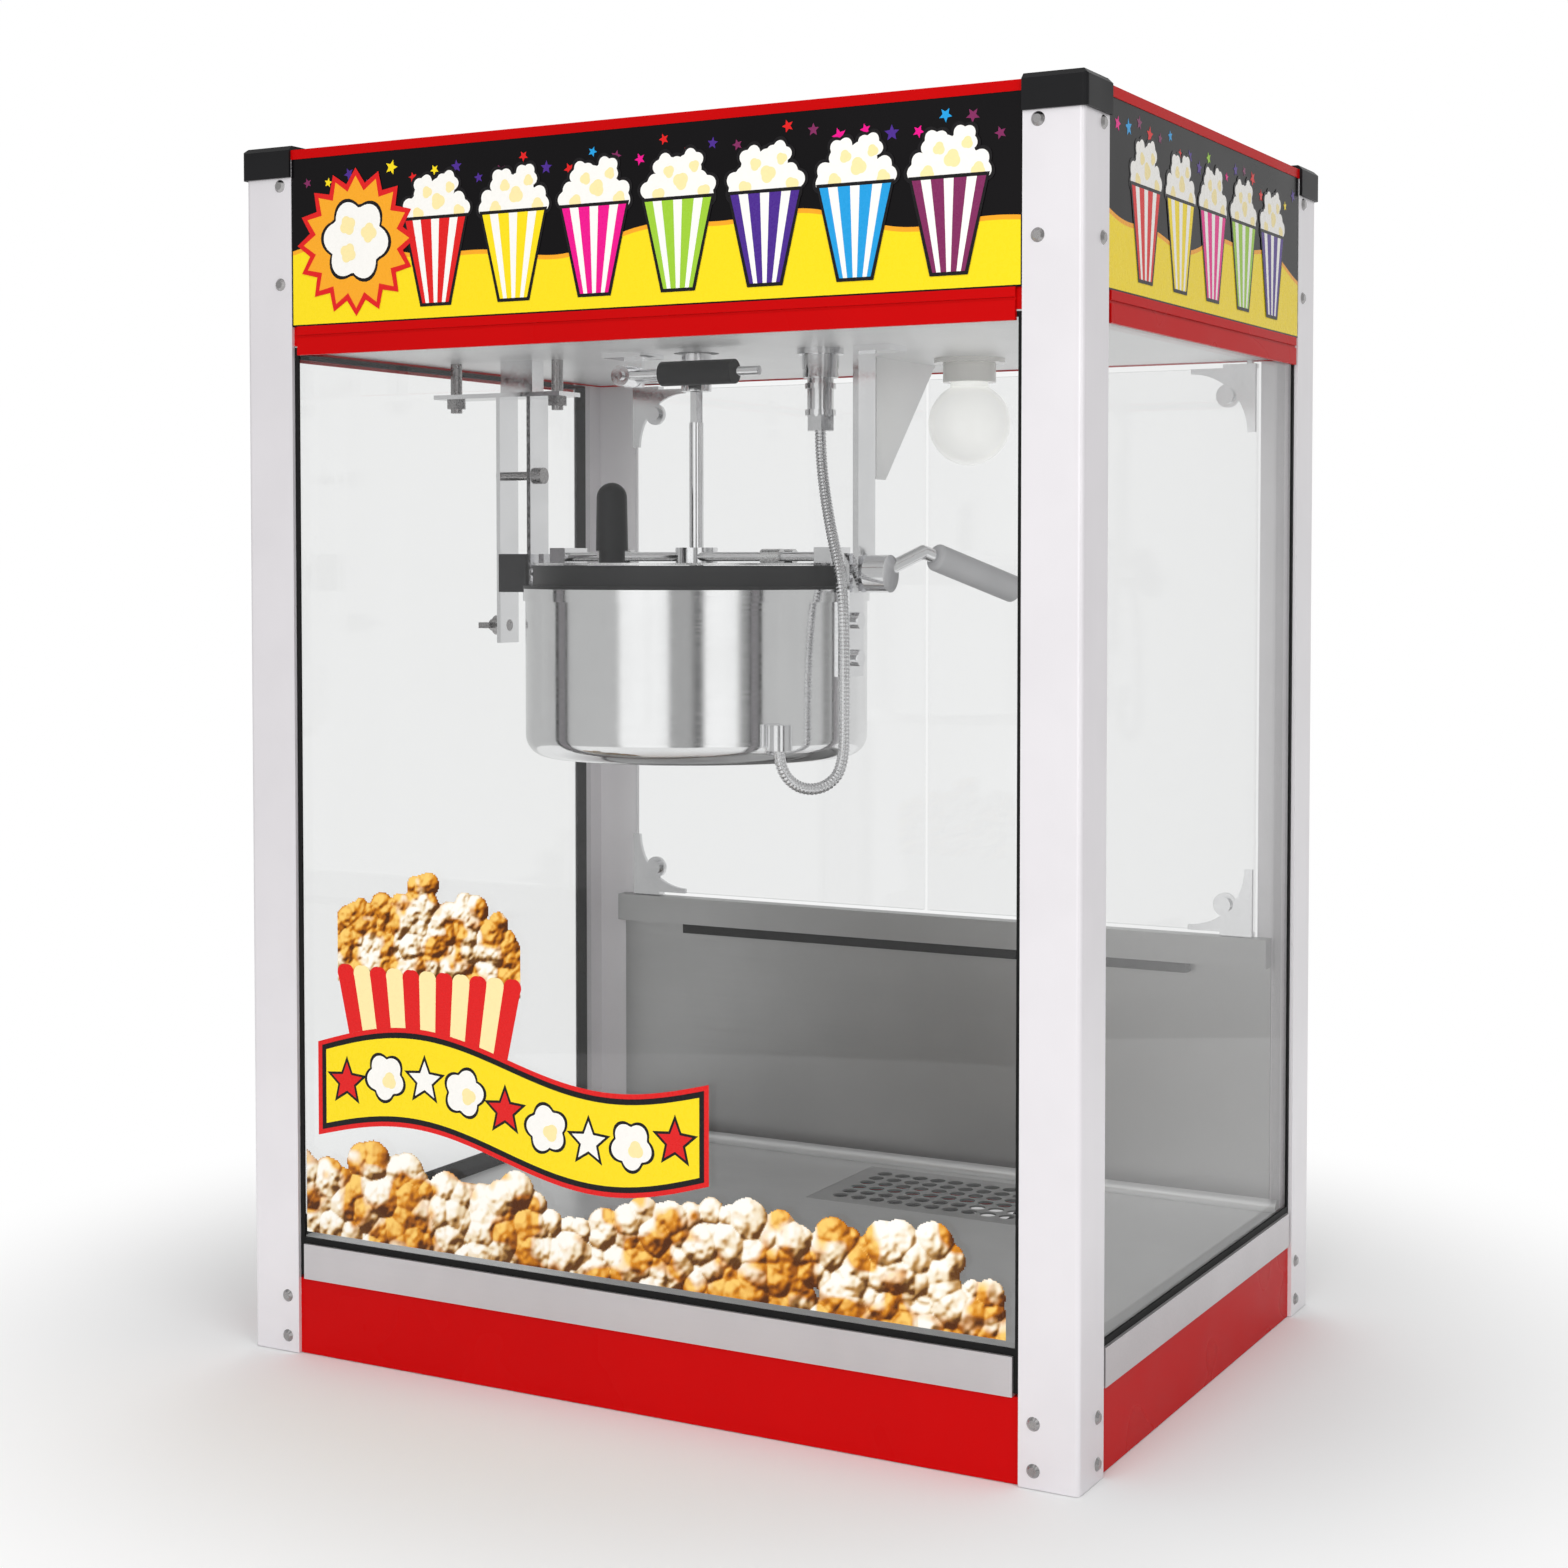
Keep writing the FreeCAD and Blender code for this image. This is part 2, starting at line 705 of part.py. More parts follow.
# Floor deck, kernel screen and rear lower panel
DECK_W = f"({INNER_W} - tray_flange + 4)"
DECK_FRONT = f"(-({INNER_D} - tray_flange + 4))"
DECK_REAR = f"({INNER_D} - gauge - hem_depth)"
SCREEN_X = centred("screen_x", "screen_length")
SCREEN_Y = centred("screen_y", "screen_width")


def floor_deck():
    """Deck folded down to stand on the tray's flange, with a rounded rear fold and the screen's opening."""
    skin = box(both(DECK_W), (DECK_FRONT, DECK_REAR), ("base_height", "floor_height"))
    under = box(both(f"{DECK_W} - gauge"), (f"{DECK_FRONT} + gauge", f"{DECK_REAR} - gauge"),
                ("base_height - 1", "floor_height - gauge"))
    opening = box(SCREEN_X, SCREEN_Y, ("floor_height - 2*gauge", "floor_height + 1"))
    fold = rod("fold_radius", both(f"{DECK_W}"), (f"{DECK_REAR} - fold_radius", "floor_height + fold_radius*0.6"),
               "x")
    node("floor_deck", fuse(cut(skin, under, opening), fold))


def kernel_screen():
    """Perforated plate set into the deck, with a lip that lies under the deck's edge."""
    plate = box((f"{SCREEN_X[0]} + slide_clear", f"{SCREEN_X[1]} - slide_clear"),
                (f"{SCREEN_Y[0]} + slide_clear", f"{SCREEN_Y[1]} - slide_clear"),
                ("floor_height - gauge", "floor_height"))
    ledge = cut(box((f"{SCREEN_X[0]} - screen_lip", f"{SCREEN_X[1]} + screen_lip"),
                    (f"{SCREEN_Y[0]} - screen_lip", f"{SCREEN_Y[1]} + screen_lip"),
                    ("floor_height - 2*gauge", "floor_height - gauge")),
                box((f"{SCREEN_X[0]} + screen_lip", f"{SCREEN_X[1]} - screen_lip"),
                    (f"{SCREEN_Y[0]} + screen_lip", f"{SCREEN_Y[1]} - screen_lip"),
                    ("floor_height - 3*gauge", "floor_height")))
    columns = int((size("screen_length") - 2 * size("screen_lip")) // size("screen_pitch"))
    rows = int((size("screen_width") - 2 * size("screen_lip")) // size("screen_pitch"))
    holes = [rod("screen_hole_radius", ("floor_height - 2*gauge", "floor_height + gauge"),
                 (f"screen_x + screen_pitch*({column - (columns - 1) / 2})",
                  f"screen_y + screen_pitch*({row - (rows - 1) / 2})"))
             for column in range(columns) for row in range(rows)]
    node("kernel_screen", cut(fuse(plate, ledge), group(*holes)))


def rear_lower_panel():
    """Rear sheet behind the floor, with a hem rail that carries the doors' lower pins."""
    lap = both(f"{EDGE_W} + glass_lap")
    sheet_part = box(lap, (f"{INNER_D} - gauge", INNER_D), ("base_height", "hem_top"))
    hem = box(lap, (f"{INNER_D} - hem_depth", INNER_D), ("hem_top - hem_height", "hem_top"))
    pins = [rod("hinge_pin_radius + run_clear", ("hem_top - hinge_pin_length - 1", "hem_top + 1"),
                (f"{sign}*{DOOR_AXIS_X}", DOOR_AXIS_Y)) for sign in (-1, 1)]
    node("rear_lower_panel", cut(fuse(sheet_part, hem), *pins))


floor_deck()
kernel_screen()
rear_lower_panel()

# Header: cover, rails, signs, ceiling and the rear control panel
SWITCHES = {"heat_switch": -1, "stir_switch": 0, "lamp_switch": 1}


def switch_spans(step, extra):
    """Spans in x and z of a switch, grown by an extra on each side."""
    return (centred(f"{step}*switch_pitch", f"switch_length + 2*({extra})"),
            centred("switch_z", f"switch_height + 2*({extra})"))


def switch_pin(step, extra):
    """Level pin that a switch turns on, grown by an extra."""
    reach = f"switch_length + 2*(switch_pin_reach + {extra})"
    return rod(f"switch_pin_radius + {extra}", centred(f"{step}*switch_pitch", reach),
               (f"{INNER_D} - switch_pin_depth", "switch_z"), "x")


def top_cover():
    """Inverted tray with an outward lip between the posts and a window for the switches."""
    skin = box(both(INNER_W), both(INNER_D), (f"{GLASS_TOP} + 1", TOP))
    hollow = box(both(f"{INNER_W} - gauge"), both(f"{INNER_D} - gauge"), (GLASS_TOP, f"{TOP} - gauge"))
    window = box(both("switch_pitch*2"), (f"{INNER_D} - 2*gauge", f"{INNER_D} + 1"),
                 centred("switch_z", "switch_height*2"))
    lips = [wall_box(face, both(edge), ("post_wall - lip_depth", "post_wall + 0.5"), (LIP_LOW, TOP))
            for face, edge in FACES.items()]
    rear_lip = box(both(EDGE_W), (f"{INNER_D} - 0.5", f"{INNER_D} + lip_depth"), (LIP_LOW, TOP))
    node("top_cover", cut(fuse(cut(skin, hollow), *lips, rear_lip), window))


def header_rail(face, edge):
    """Red rail under the sign, with a groove along its upper third."""
    along = both(f"{edge} - sill_end_gap")
    front = "post_wall - rail_depth + 0.5"
    bar = wall_box(face, along, (front, "post_wall"), (RAIL_LOW, f"{RAIL_LOW} + rail_height"))
    groove = wall_box(face, both(f"{edge}"), ("-1", f"{front} + rail_groove"),
                      (f"{RAIL_LOW} + rail_height*0.6", f"{RAIL_LOW} + rail_height*0.7"))
    return cut(bar, groove)


def sign_panel(face, edge):
    """Flat sign between the rail and the cover's lip."""
    return wall_box(face, both(edge), ("post_wall - sign_gauge", "post_wall"),
                    (f"{SIGN_LOW} - sign_gap", LIP_LOW))


def ceiling_plate():
    """Ceiling inside the cover's walls, with holes for the drive, the plug, the lamp and the door pins."""
    plate = box(both(f"{INNER_W} - gauge"), both(f"{INNER_D} - gauge"), (CEILING, f"{CEILING} + gauge"))
    through = (f"{CEILING} - 1", f"{CEILING} + gauge + 1")
    holes = [rod("shaft_hole_radius", through, ("kettle_x", "kettle_y")),
             rod("socket_radius - 4", through, ("plug_x", "plug_y")),
             rod("holder_radius", through, ("lamp_x", "lamp_y"))]
    holes += [rod("hinge_pin_radius + run_clear", through, (f"{sign}*{DOOR_AXIS_X}", DOOR_AXIS_Y))
              for sign in (-1, 1)]
    node("ceiling_plate", cut(plate, *holes))


def rear_control_panel():
    """Panel on the cover's rear wall, with bezels round the three switches."""
    depth = (INNER_D, f"{INNER_D} + 1")
    panel = box(both(f"{EDGE_W} - 1"), depth, (SIGN_LOW, LIP_LOW))
    holes = []
    bezels = []
    for step in SWITCHES.values():
        x, z = switch_spans(step, "slide_clear")
        holes.append(box(x, (f"{INNER_D} - switch_depth - 3", f"{INNER_D} + 4"), z))
        x, z = switch_spans(step, "switch_bezel")
        bezels.append(box(x, (f"{INNER_D} - switch_depth - 2", f"{INNER_D} + 2"), z))
        holes.append(switch_pin(step, "run_clear"))
    node("rear_control_panel", cut(fuse(panel, *bezels), *holes))


def rocker(label, step):
    """Rocker that turns on a level pin at its middle, with its upper half standing back."""
    low, high = centred(f"{step}*switch_pitch", "switch_length")
    half = "switch_height/2"
    face = [("-switch_depth", f"-{half} + 3"), ("1.5", f"-{half} + 0.6"), ("-1.2", "0"), ("-1.2", f"{half} - 3"),
            ("-switch_depth", f"{half} - 3")]
    body = padded("YZ_Plane", face, f"({high}) - ({low})")
    place(body, low, INNER_D, "switch_z")
    node(label, fuse(body, switch_pin(step, "0")))


top_cover()
node("header_rails", group(*[header_rail(*item) for item in FACES.items()]))
node("sign_panels", group(*[sign_panel(*item) for item in FACES.items()]))
ceiling_plate()
rear_control_panel()
for switch_name, switch_step in SWITCHES.items():
    rocker(switch_name, switch_step)

# Rear doors and their hinge clamps
DOOR_EDGE = f"({EDGE_W} - door_edge_gap)"


def door(name, sign):
    """Clear door that meets its fellow at the middle."""
    node(name + "_door", box(side(sign, "door_gap/2", DOOR_EDGE), (DOOR_IN, DOOR_OUT), (DOOR_LOW, DOOR_TOP)))


def hinge_clamp(sign, upper):
    """Cast clamp at a door's corner: hollow-edged wings, an eye, a shelf and a pivot pin."""
    edge, way = (DOOR_TOP, -1) if upper else (DOOR_LOW, 1)
    depth = (f"{DOOR_IN} - hinge_gauge", DOOR_IN)

    def span(near, far):
        """Span of heights measured from the door's edge towards its middle."""
        ends = (f"{edge} + {way}*({near})", f"{edge} + {way}*({far})")
        return ends if way > 0 else ends[::-1]

    blank = box(side(sign, f"{DOOR_EDGE} - hinge_width", DOOR_EDGE), depth, span("0", "hinge_height"))
    hollow = rod("hinge_height*0.92", (f"{depth[0]} - 1", f"{depth[1]} + 1"),
                 (f"{sign}*({DOOR_EDGE} - hinge_width)", f"{edge} + {way}*hinge_height"), "y")
    wings = cut(blank, hollow)
    eye_x = f"{sign}*({DOOR_EDGE} - hinge_width*0.43)"
    eye_z = f"{edge} + {way}*hinge_height*0.43"
    lobe = rod("eye_radius*1.5", depth, (eye_x, eye_z), "y")
    eye = rod("eye_radius", (f"{DOOR_IN} - 2*hinge_gauge", DOOR_IN), (eye_x, eye_z), "y")
    shelf = box(side(sign, f"{DOOR_EDGE} - hinge_width*0.5", DOOR_EDGE), (depth[0], DOOR_OUT),
                span("-hinge_shelf", "0"))
    pin_span = ((f"{DOOR_TOP} + hinge_shelf - 1", f"{CEILING} + gauge + 1") if upper
                else ("hem_top - hinge_pin_length", f"{DOOR_LOW} - hinge_shelf + 1"))
    pin = rod("hinge_pin_radius", pin_span, (f"{sign}*{DOOR_AXIS_X}", DOOR_AXIS_Y))
    return fuse(wings, lobe, eye, shelf, pin)


for door_name, door_sign in (("left", -1), ("right", 1)):
    door(door_name, door_sign)
    node(door_name + "_door_hinges", group(hinge_clamp(door_sign, False), hinge_clamp(door_sign, True)))

# Hangers that carry the kettle from the ceiling
STRAP_IN = f"(kettle_x - {EAR_OUT} - strap_side_gap)"
BLOCK_X = (f"{STRAP_IN} - strap_gauge - strap_gap", f"{STRAP_IN} - strap_gauge")
STRAP_OUT = f"({STRAP_IN} - 2*strap_gauge - strap_gap)"
STRAP_MID = f"({STRAP_IN} - strap_gauge - strap_gap/2)"
PLATE_X = (f"{GLASS_IN} - {HALF_W} + hanger_plate_glass_gap", f"{STRAP_MID} + hanger_plate_right")
STUDS_X = (f"{PLATE_X[0]} + stud_inset", f"{PLATE_X[1]} - stud_inset")
PLATE_TOP = "(hanger_plate_height + hanger_plate_gauge)"
HANGER_X = (f"kettle_x + {EAR_OUT} + hanger_side_gap", f"kettle_x + {EAR_OUT} + hanger_side_gap + hanger_gauge")
TRUNNION_END = f"({HANGER_X[1]} + 2)"


def trunnion_bore(span):
    """Running bore for a trunnion."""
    return rod("trunnion_radius + run_clear", span, ("kettle_y", "tilt_height"), "x")


def left_hanger():
    """Plate on a ceiling tab, with two straps below it that carry the bearing block."""
    plate = box(PLATE_X, centred("kettle_y", "block_width"), ("hanger_plate_height", PLATE_TOP))
    tab = box(centred(STRAP_MID, "hanger_tab_length"), centred("kettle_y", "hanger_tab_width"),
              (f"{PLATE_TOP} - 0.5", CEILING))
    width = centred("kettle_y", "strap_width")
    inner = box((f"{STRAP_IN} - strap_gauge", STRAP_IN), width,
                ("tilt_height - block_height/2", "hanger_plate_height + 0.5"))
    outer = box((STRAP_OUT, BLOCK_X[0]), width, ("strap_low", "hanger_plate_height + 0.5"))
    through = (f"{STRAP_OUT} - 1", f"{STRAP_IN} + 1")
    bores = [trunnion_bore(through),
             rod("stay_bolt_radius", through, ("kettle_y", "stay_bolt_height"), "x"),
             rod("thumb_radius", (f"{STRAP_OUT} - 1", f"{BLOCK_X[0]} + 1"), ("kettle_y", "thumb_height"), "x")]
    bores += [rod("stud_radius", ("hanger_plate_height - 1", f"{PLATE_TOP} + 1"), (x, "kettle_y"))
              for x in STUDS_X]
    node("left_hanger", cut(fuse(plate, tab, inner, outer), *bores))


def bearing_block():
    """Block between the straps, bored for the left trunnion."""
    block = box(BLOCK_X, centred("kettle_y", "block_width"), centred("tilt_height", "block_height"))
    node("left_bearing_block", cut(block, trunnion_bore((f"{BLOCK_X[0]} - 1", f"{BLOCK_X[1]} + 1"))))


def hanger_bolts():
    """Two ceiling studs with nuts, the stay bolt across the straps and the thumb screw."""
    studs = [fuse(rod("stud_radius", ("hanger_plate_height - nut_height - 3", CEILING), (x, "kettle_y")),
                  hexagon("nut_radius", ("hanger_plate_height - nut_height", "hanger_plate_height"),
                          (x, "kettle_y"))) for x in STUDS_X]
    spot = ("kettle_y", "stay_bolt_height")
    stay = fuse(rod("stay_bolt_radius", (f"{STRAP_OUT} - 4", f"{STRAP_IN} + 4"), spot, "x"),
                rod("nut_radius*0.8", (f"{STRAP_OUT} - 4", STRAP_OUT), spot, "x"),
                rod("nut_radius*0.8", (STRAP_IN, f"{STRAP_IN} + 4"), spot, "x"))
    spot = ("kettle_y", "thumb_height")
    thumb = fuse(rod("thumb_radius", (f"{STRAP_OUT} - 12", BLOCK_X[0]), spot, "x"),
                 rod("thumb_radius*1.7", (f"{STRAP_OUT} - 8", STRAP_OUT), spot, "x"),
                 box((f"{STRAP_OUT} - 14", f"{STRAP_OUT} - 5"), centred("kettle_y", "2*thumb_wing"),
                     centred("thumb_height", "4")))
    node("hanger_bolts", group(*studs, stay, thumb))


def right_hanger():
    """Strap with a foot on the ceiling, bored for the right trunnion."""
    strap = box(HANGER_X, centred("kettle_y", "hanger_width"), ("tilt_height - hanger_width/2", CEILING))
    foot = box((HANGER_X[0], f"{HANGER_X[0]} + hanger_foot"), centred("kettle_y", "hanger_width"),
               (f"{CEILING} - hanger_gauge", CEILING))
    node("right_hanger", cut(fuse(strap, foot), trunnion_bore((f"{HANGER_X[0]} - 1", f"{HANGER_X[1]} + 1"))))


left_hanger()
bearing_block()
hanger_bolts()
right_hanger()

# Kettle: shell, pan, heater, ears with trunnions, and the tilt handle


def kettle_shell():
    """Polished shell with a rolled rim."""
    throat = "pan_radius + slide_clear"
    body = turned([("0", "kettle_bottom"), ("kettle_radius", "kettle_bottom"), ("kettle_radius", "rim_bottom"),
                   (RIM_OUT, "rim_bottom"), (RIM_OUT, "rim_top"), (throat, "rim_top"), (throat, "rim_bottom"),
                   ("kettle_radius - shell_wall", "rim_bottom"),
                   ("kettle_radius - shell_wall", "kettle_bottom + shell_wall"),
                   ("0", "kettle_bottom + shell_wall")])
    radius, bottom, wall = size("kettle_radius"), size("kettle_bottom"), size("shell_wall")
    rounded(body, lambda edge: is_ring(edge, radius, bottom), "shell_round")
    rounded(body, lambda edge: is_ring(edge, radius - wall, bottom + wall), "shell_round - shell_wall")
    node("kettle_shell", place(body, "kettle_x", "kettle_y", "0"))


def kettle_pan():
    """Non-stick pan that hangs in the shell by its flange and stands above the rim."""
    inner = "pan_radius - pan_wall"
    flange = "rim_top + pan_wall"
    body = turned([("0", "pan_floor"), ("pan_radius", "pan_floor"), ("pan_radius", "rim_top"),
                   (RIM_OUT, "rim_top"), (RIM_OUT, flange), ("pan_radius", flange), ("pan_radius", "pan_top"),
                   (inner, "pan_top"), (inner, "pan_floor + pan_wall"), ("0", "pan_floor + pan_wall")])
    radius, floor, wall = size("pan_radius"), size("pan_floor"), size("pan_wall")
    rounded(body, lambda edge: is_ring(edge, radius, floor), "pan_round")
    rounded(body, lambda edge: is_ring(edge, radius - wall, floor + wall), "pan_round - pan_wall")
    node("kettle_pan", place(body, "kettle_x", "kettle_y", "0"))


def heater():
    """Tubular ring under the pan with two terminals, the thermostat and the lead's gland."""
    ring = bind(doc.addObject("Part::Torus", "Ring"), Radius1="heater_ring", Radius2="heater_tube")
    place(ring, "kettle_x", "kettle_y", "pan_floor - heater_tube")
    tails = [rod("heater_tube*0.7", ("pan_floor - 3*heater_tube", "pan_floor - heater_tube"),
                 ("kettle_x + heater_ring", f"kettle_y + {step}*2*heater_tube")) for step in (-1, 1)]
    node("heater_element", fuse(ring, *tails))
    node("thermostat", rod("stat_radius", ("pan_floor - stat_height", "pan_floor"),
                           ("kettle_x - stat_offset", "kettle_y")))
    shell = rod("kettle_radius", ("kettle_bottom", "rim_top"), ("kettle_x", "kettle_y"))
    node("kettle_gland", cut(rod("gland_radius", ("gland_low", "gland_low + gland_length"), ("gland_x", "gland_y")),
                             shell))


def kettle_ear(sign, trunnion_end):
    """Flat ear on two bosses seated on the shell, with its trunnion; the right one shows its bolt heads."""
    bar = box(sorted_span(sign, EAR_IN, EAR_OUT), centred("kettle_y", "ear_width"), ("ear_low", "ear_high"))
    bosses = [rod("ear_boss_radius", sorted_span(sign, "kettle_radius - 6", f"{EAR_IN} + 1"),
                  ("kettle_y", height), "x") for height in ("ear_boss_low", "ear_boss_high")]
    heads = [rod("ear_boss_radius*1.1", sorted_span(sign, f"{EAR_OUT} - 1", f"{EAR_OUT} + 3.5"),
                 ("kettle_y", height), "x") for height in ("ear_boss_low", "ear_boss_high") if sign > 0]
    pin = rod("trunnion_radius", sorted_span(sign, f"{EAR_IN} + 1", trunnion_end),
              ("kettle_y", "tilt_height"), "x")
    shell = rod("kettle_radius", ("kettle_bottom", "rim_top"), ("kettle_x", "kettle_y"))
    return cut(fuse(bar, *bosses, *heads, pin), shell)


def sorted_span(sign, near, far):
    """Span measured from the kettle's axis to one side."""
    ends = (f"kettle_x + {sign}*({near})", f"kettle_x + {sign}*({far})")
    return ends if sign > 0 else ends[::-1]


def tilt_handle():
    """Hub on the right trunnion's end, with a bent rod and a grip that point to the operator."""
    hub = rod("hub_radius", (TRUNNION_END, f"{TRUNNION_END} + hub_length"), ("kettle_y", "tilt_height"), "x")
    doc.recompute()
    start = hub.Shape.CenterOfMass
    hub_end = FreeCAD.Vector(hub.Shape.BoundBox.XMax, start.y, start.z)
    bend = hub_end + FreeCAD.Vector(size("handle_bend_reach"), size("handle_bend_back"), size("handle_bend_rise"))
    end = hub_end + FreeCAD.Vector(size("handle_end_reach"), size("handle_end_back"), -size("handle_end_drop"))
    grip_start = bend + (end - bend) * 0.12
    rod_radius = size("handle_rod_radius")
    arm = hub.Shape.fuse([tube_between(start, bend, rod_radius), Part.makeSphere(rod_radius, bend),
                          tube_between(bend, end - (end - bend) * 0.05, rod_radius)]).removeSplitter()
    grip = tube_between(grip_start, end, size("handle_grip_radius"))
    caps = [edge for edge in grip.Edges if isinstance(edge.Curve, Part.Circle)]
    grip = grip.makeFillet(size("handle_grip_radius") * 0.3, caps)
    core = tube_between(bend, end - (end - bend) * 0.05, rod_radius)
    for label, shape in (("handle_arm", arm), ("handle_grip", grip.cut(core))):
        feature = doc.addObject("Part::Feature", "Handle")
        feature.Shape = shape
        node(label, feature)


def tube_between(start, end, radius):
    """Solid round bar between two points."""
    way = end - start
    return Part.makeCylinder(radius, way.Length, start, way)


kettle_shell()
kettle_pan()
heater()
node("kettle_ears", group(kettle_ear(1, f"{TRUNNION_END} - kettle_x"),
                          kettle_ear(-1, f"kettle_x - {STRAP_OUT} + 3")))
tilt_handle()

# Crossbar, lids and stirrer
BRIDGE_Z = ("pan_top", "pan_top + bridge_height")
LID_Z = ("pan_top + lid_lift", "pan_top + lid_lift + lid_gauge")


def lid_crossbar():
    """Two rods between end bridges that stand on the pan's rim, with a bored hub at the middle."""
    rods = [rod("rod_radius", sorted_span(1, "-rod_reach", "rod_reach"),
                (f"kettle_y + {way}*rod_offset", "rod_height"), "x") for way in (-1, 1)]
    bridges = [box(sorted_span(sign, "rod_reach - bridge_length", "rod_reach + 3"),
                   centred("kettle_y", "bridge_width"), BRIDGE_Z) for sign in (-1, 1)]
    hub = rod("hub_ring_radius", ("pan_top + 1", BRIDGE_Z[1]), ("kettle_x", "kettle_y"))
    bore = rod("shaft_radius + run_clear", ("pan_top", f"{BRIDGE_Z[1]} + 1"), ("kettle_x", "kettle_y"))
    node("lid_crossbar", cut(fuse(*rods, *bridges, hub), bore))


def lid(label, way):
    """Half-round flap that hangs from its rod by two knuckles."""
    disc = rod("lid_radius", LID_Z, ("kettle_x", "kettle_y"))
    edge = f"kettle_y + {way}*rod_offset"
    reach = f"kettle_y - {way}*2*lid_radius"
    deep = ("pan_top - 5", "pan_top + 5")
    other = box(sorted_span(1, "-2*lid_radius", "2*lid_radius"), (reach, edge) if way > 0 else (edge, reach), deep)
    hub = rod("hub_ring_radius + lid_hub_gap", deep, ("kettle_x", "kettle_y"))
    ends = [box(sorted_span(sign, "rod_reach - bridge_length - lid_hub_gap", "2*lid_radius"),
                centred("kettle_y", "bridge_width + 2*lid_hub_gap"), deep) for sign in (-1, 1)]
    spot = (edge, "rod_height")
    middles = [f"kettle_x + {sign}*knuckle_offset" for sign in (-1, 1)]
    knuckles = [rod("knuckle_radius", centred(middle, "knuckle_length"), spot, "x") for middle in middles]
    bores = [rod("rod_radius + run_clear", centred(middle, "knuckle_length + 2"), spot, "x") for middle in middles]
    node(label, cut(fuse(cut(disc, other, hub, *ends), *knuckles), *bores))


def lid_knob():
    """Upright tapered grip on the front lid, with a round head and a narrower foot."""
    spot = ("knob_x", "knob_y")
    low = LID_Z[1]
    head = f"({low} + knob_height - knob_radius*0.94)"
    node("lid_knob", fuse(rod("knob_radius*0.8", (low, f"{low} + knob_height*0.2"), spot),
                          cone("knob_radius", "knob_radius*0.94", (f"{low} + knob_height*0.15", head), spot),
                          ball("knob_radius*0.94", *spot, head)))


def stirrer():
    """Upright shaft with a hexagonal top, and a two-armed blade just above the pan's floor."""
    spot = ("kettle_x", "kettle_y")
    foot = "(pan_floor + pan_wall + shaft_foot)"
    node("stirrer_shaft", fuse(rod("shaft_radius", (foot, "shaft_top - drive_length"), spot),
                               hexagon("drive_flat_radius", ("shaft_top - drive_length - 1", "shaft_top"), spot)))
    blade_low = f"({foot} + blade_lift)"
    bar = box(centred("kettle_x", "2*blade_reach"), centred("kettle_y", "blade_gauge"),
              (blade_low, f"{blade_low} + blade_height"))
    hub = rod("blade_hub_radius", (blade_low, f"{blade_low} + blade_height*1.4"), spot)
    bore = rod("shaft_radius", (foot, f"{blade_low} + blade_height*2"), spot)
    node("stirrer_blade", cut(fuse(bar, hub), bore))


lid_crossbar()
lid("front_lid", -1)
lid("rear_lid", 1)
lid_knob()
stirrer()

# Drive: gear motor, output shaft, coupling sleeve and the lever that lowers it
MOTOR_LOW = f"({CEILING} + gauge)"
SLEEVE_TOP = f"({SLEEVE_LOW} + sleeve_height)"


def drive():
    """Motor over the ceiling, its output shaft, and the sleeve that slides down over the stirrer shaft."""
    spot = ("kettle_x", "kettle_y")
    box_top = f"{MOTOR_LOW} + gearbox_height"
    case = box(centred("kettle_x", "gearbox_length"), centred("kettle_y", "gearbox_width"), (MOTOR_LOW, box_top))
    motor = rod("motor_radius", (f"{box_top} - 1", f"{box_top} + motor_height"), spot)
    bore = rod("output_radius + run_clear", (f"{MOTOR_LOW} - 1", f"{MOTOR_LOW} + output_seat + 1"), spot)
    node("gear_motor", cut(fuse(case, motor), bore))
    node("motor_output", fuse(rod("output_radius", (f"{MOTOR_LOW} + 0.5", f"{MOTOR_LOW} + output_seat"), spot),
                              hexagon("drive_flat_radius", ("shaft_top + output_gap", f"{MOTOR_LOW} + 1"), spot)))
    skin = rod("sleeve_radius", (SLEEVE_LOW, SLEEVE_TOP), spot)
    bore = hexagon("drive_flat_radius + drive_clear", (f"{SLEEVE_LOW} - 1", f"{SLEEVE_TOP} + 1"), spot)
    groove_z = centred(GROOVE_MID, "sleeve_groove_width")
    groove = cut(rod("sleeve_radius + 1", groove_z, spot), rod("sleeve_radius - sleeve_groove_depth", groove_z, spot))
    node("coupling_sleeve", cut(skin, bore, groove))


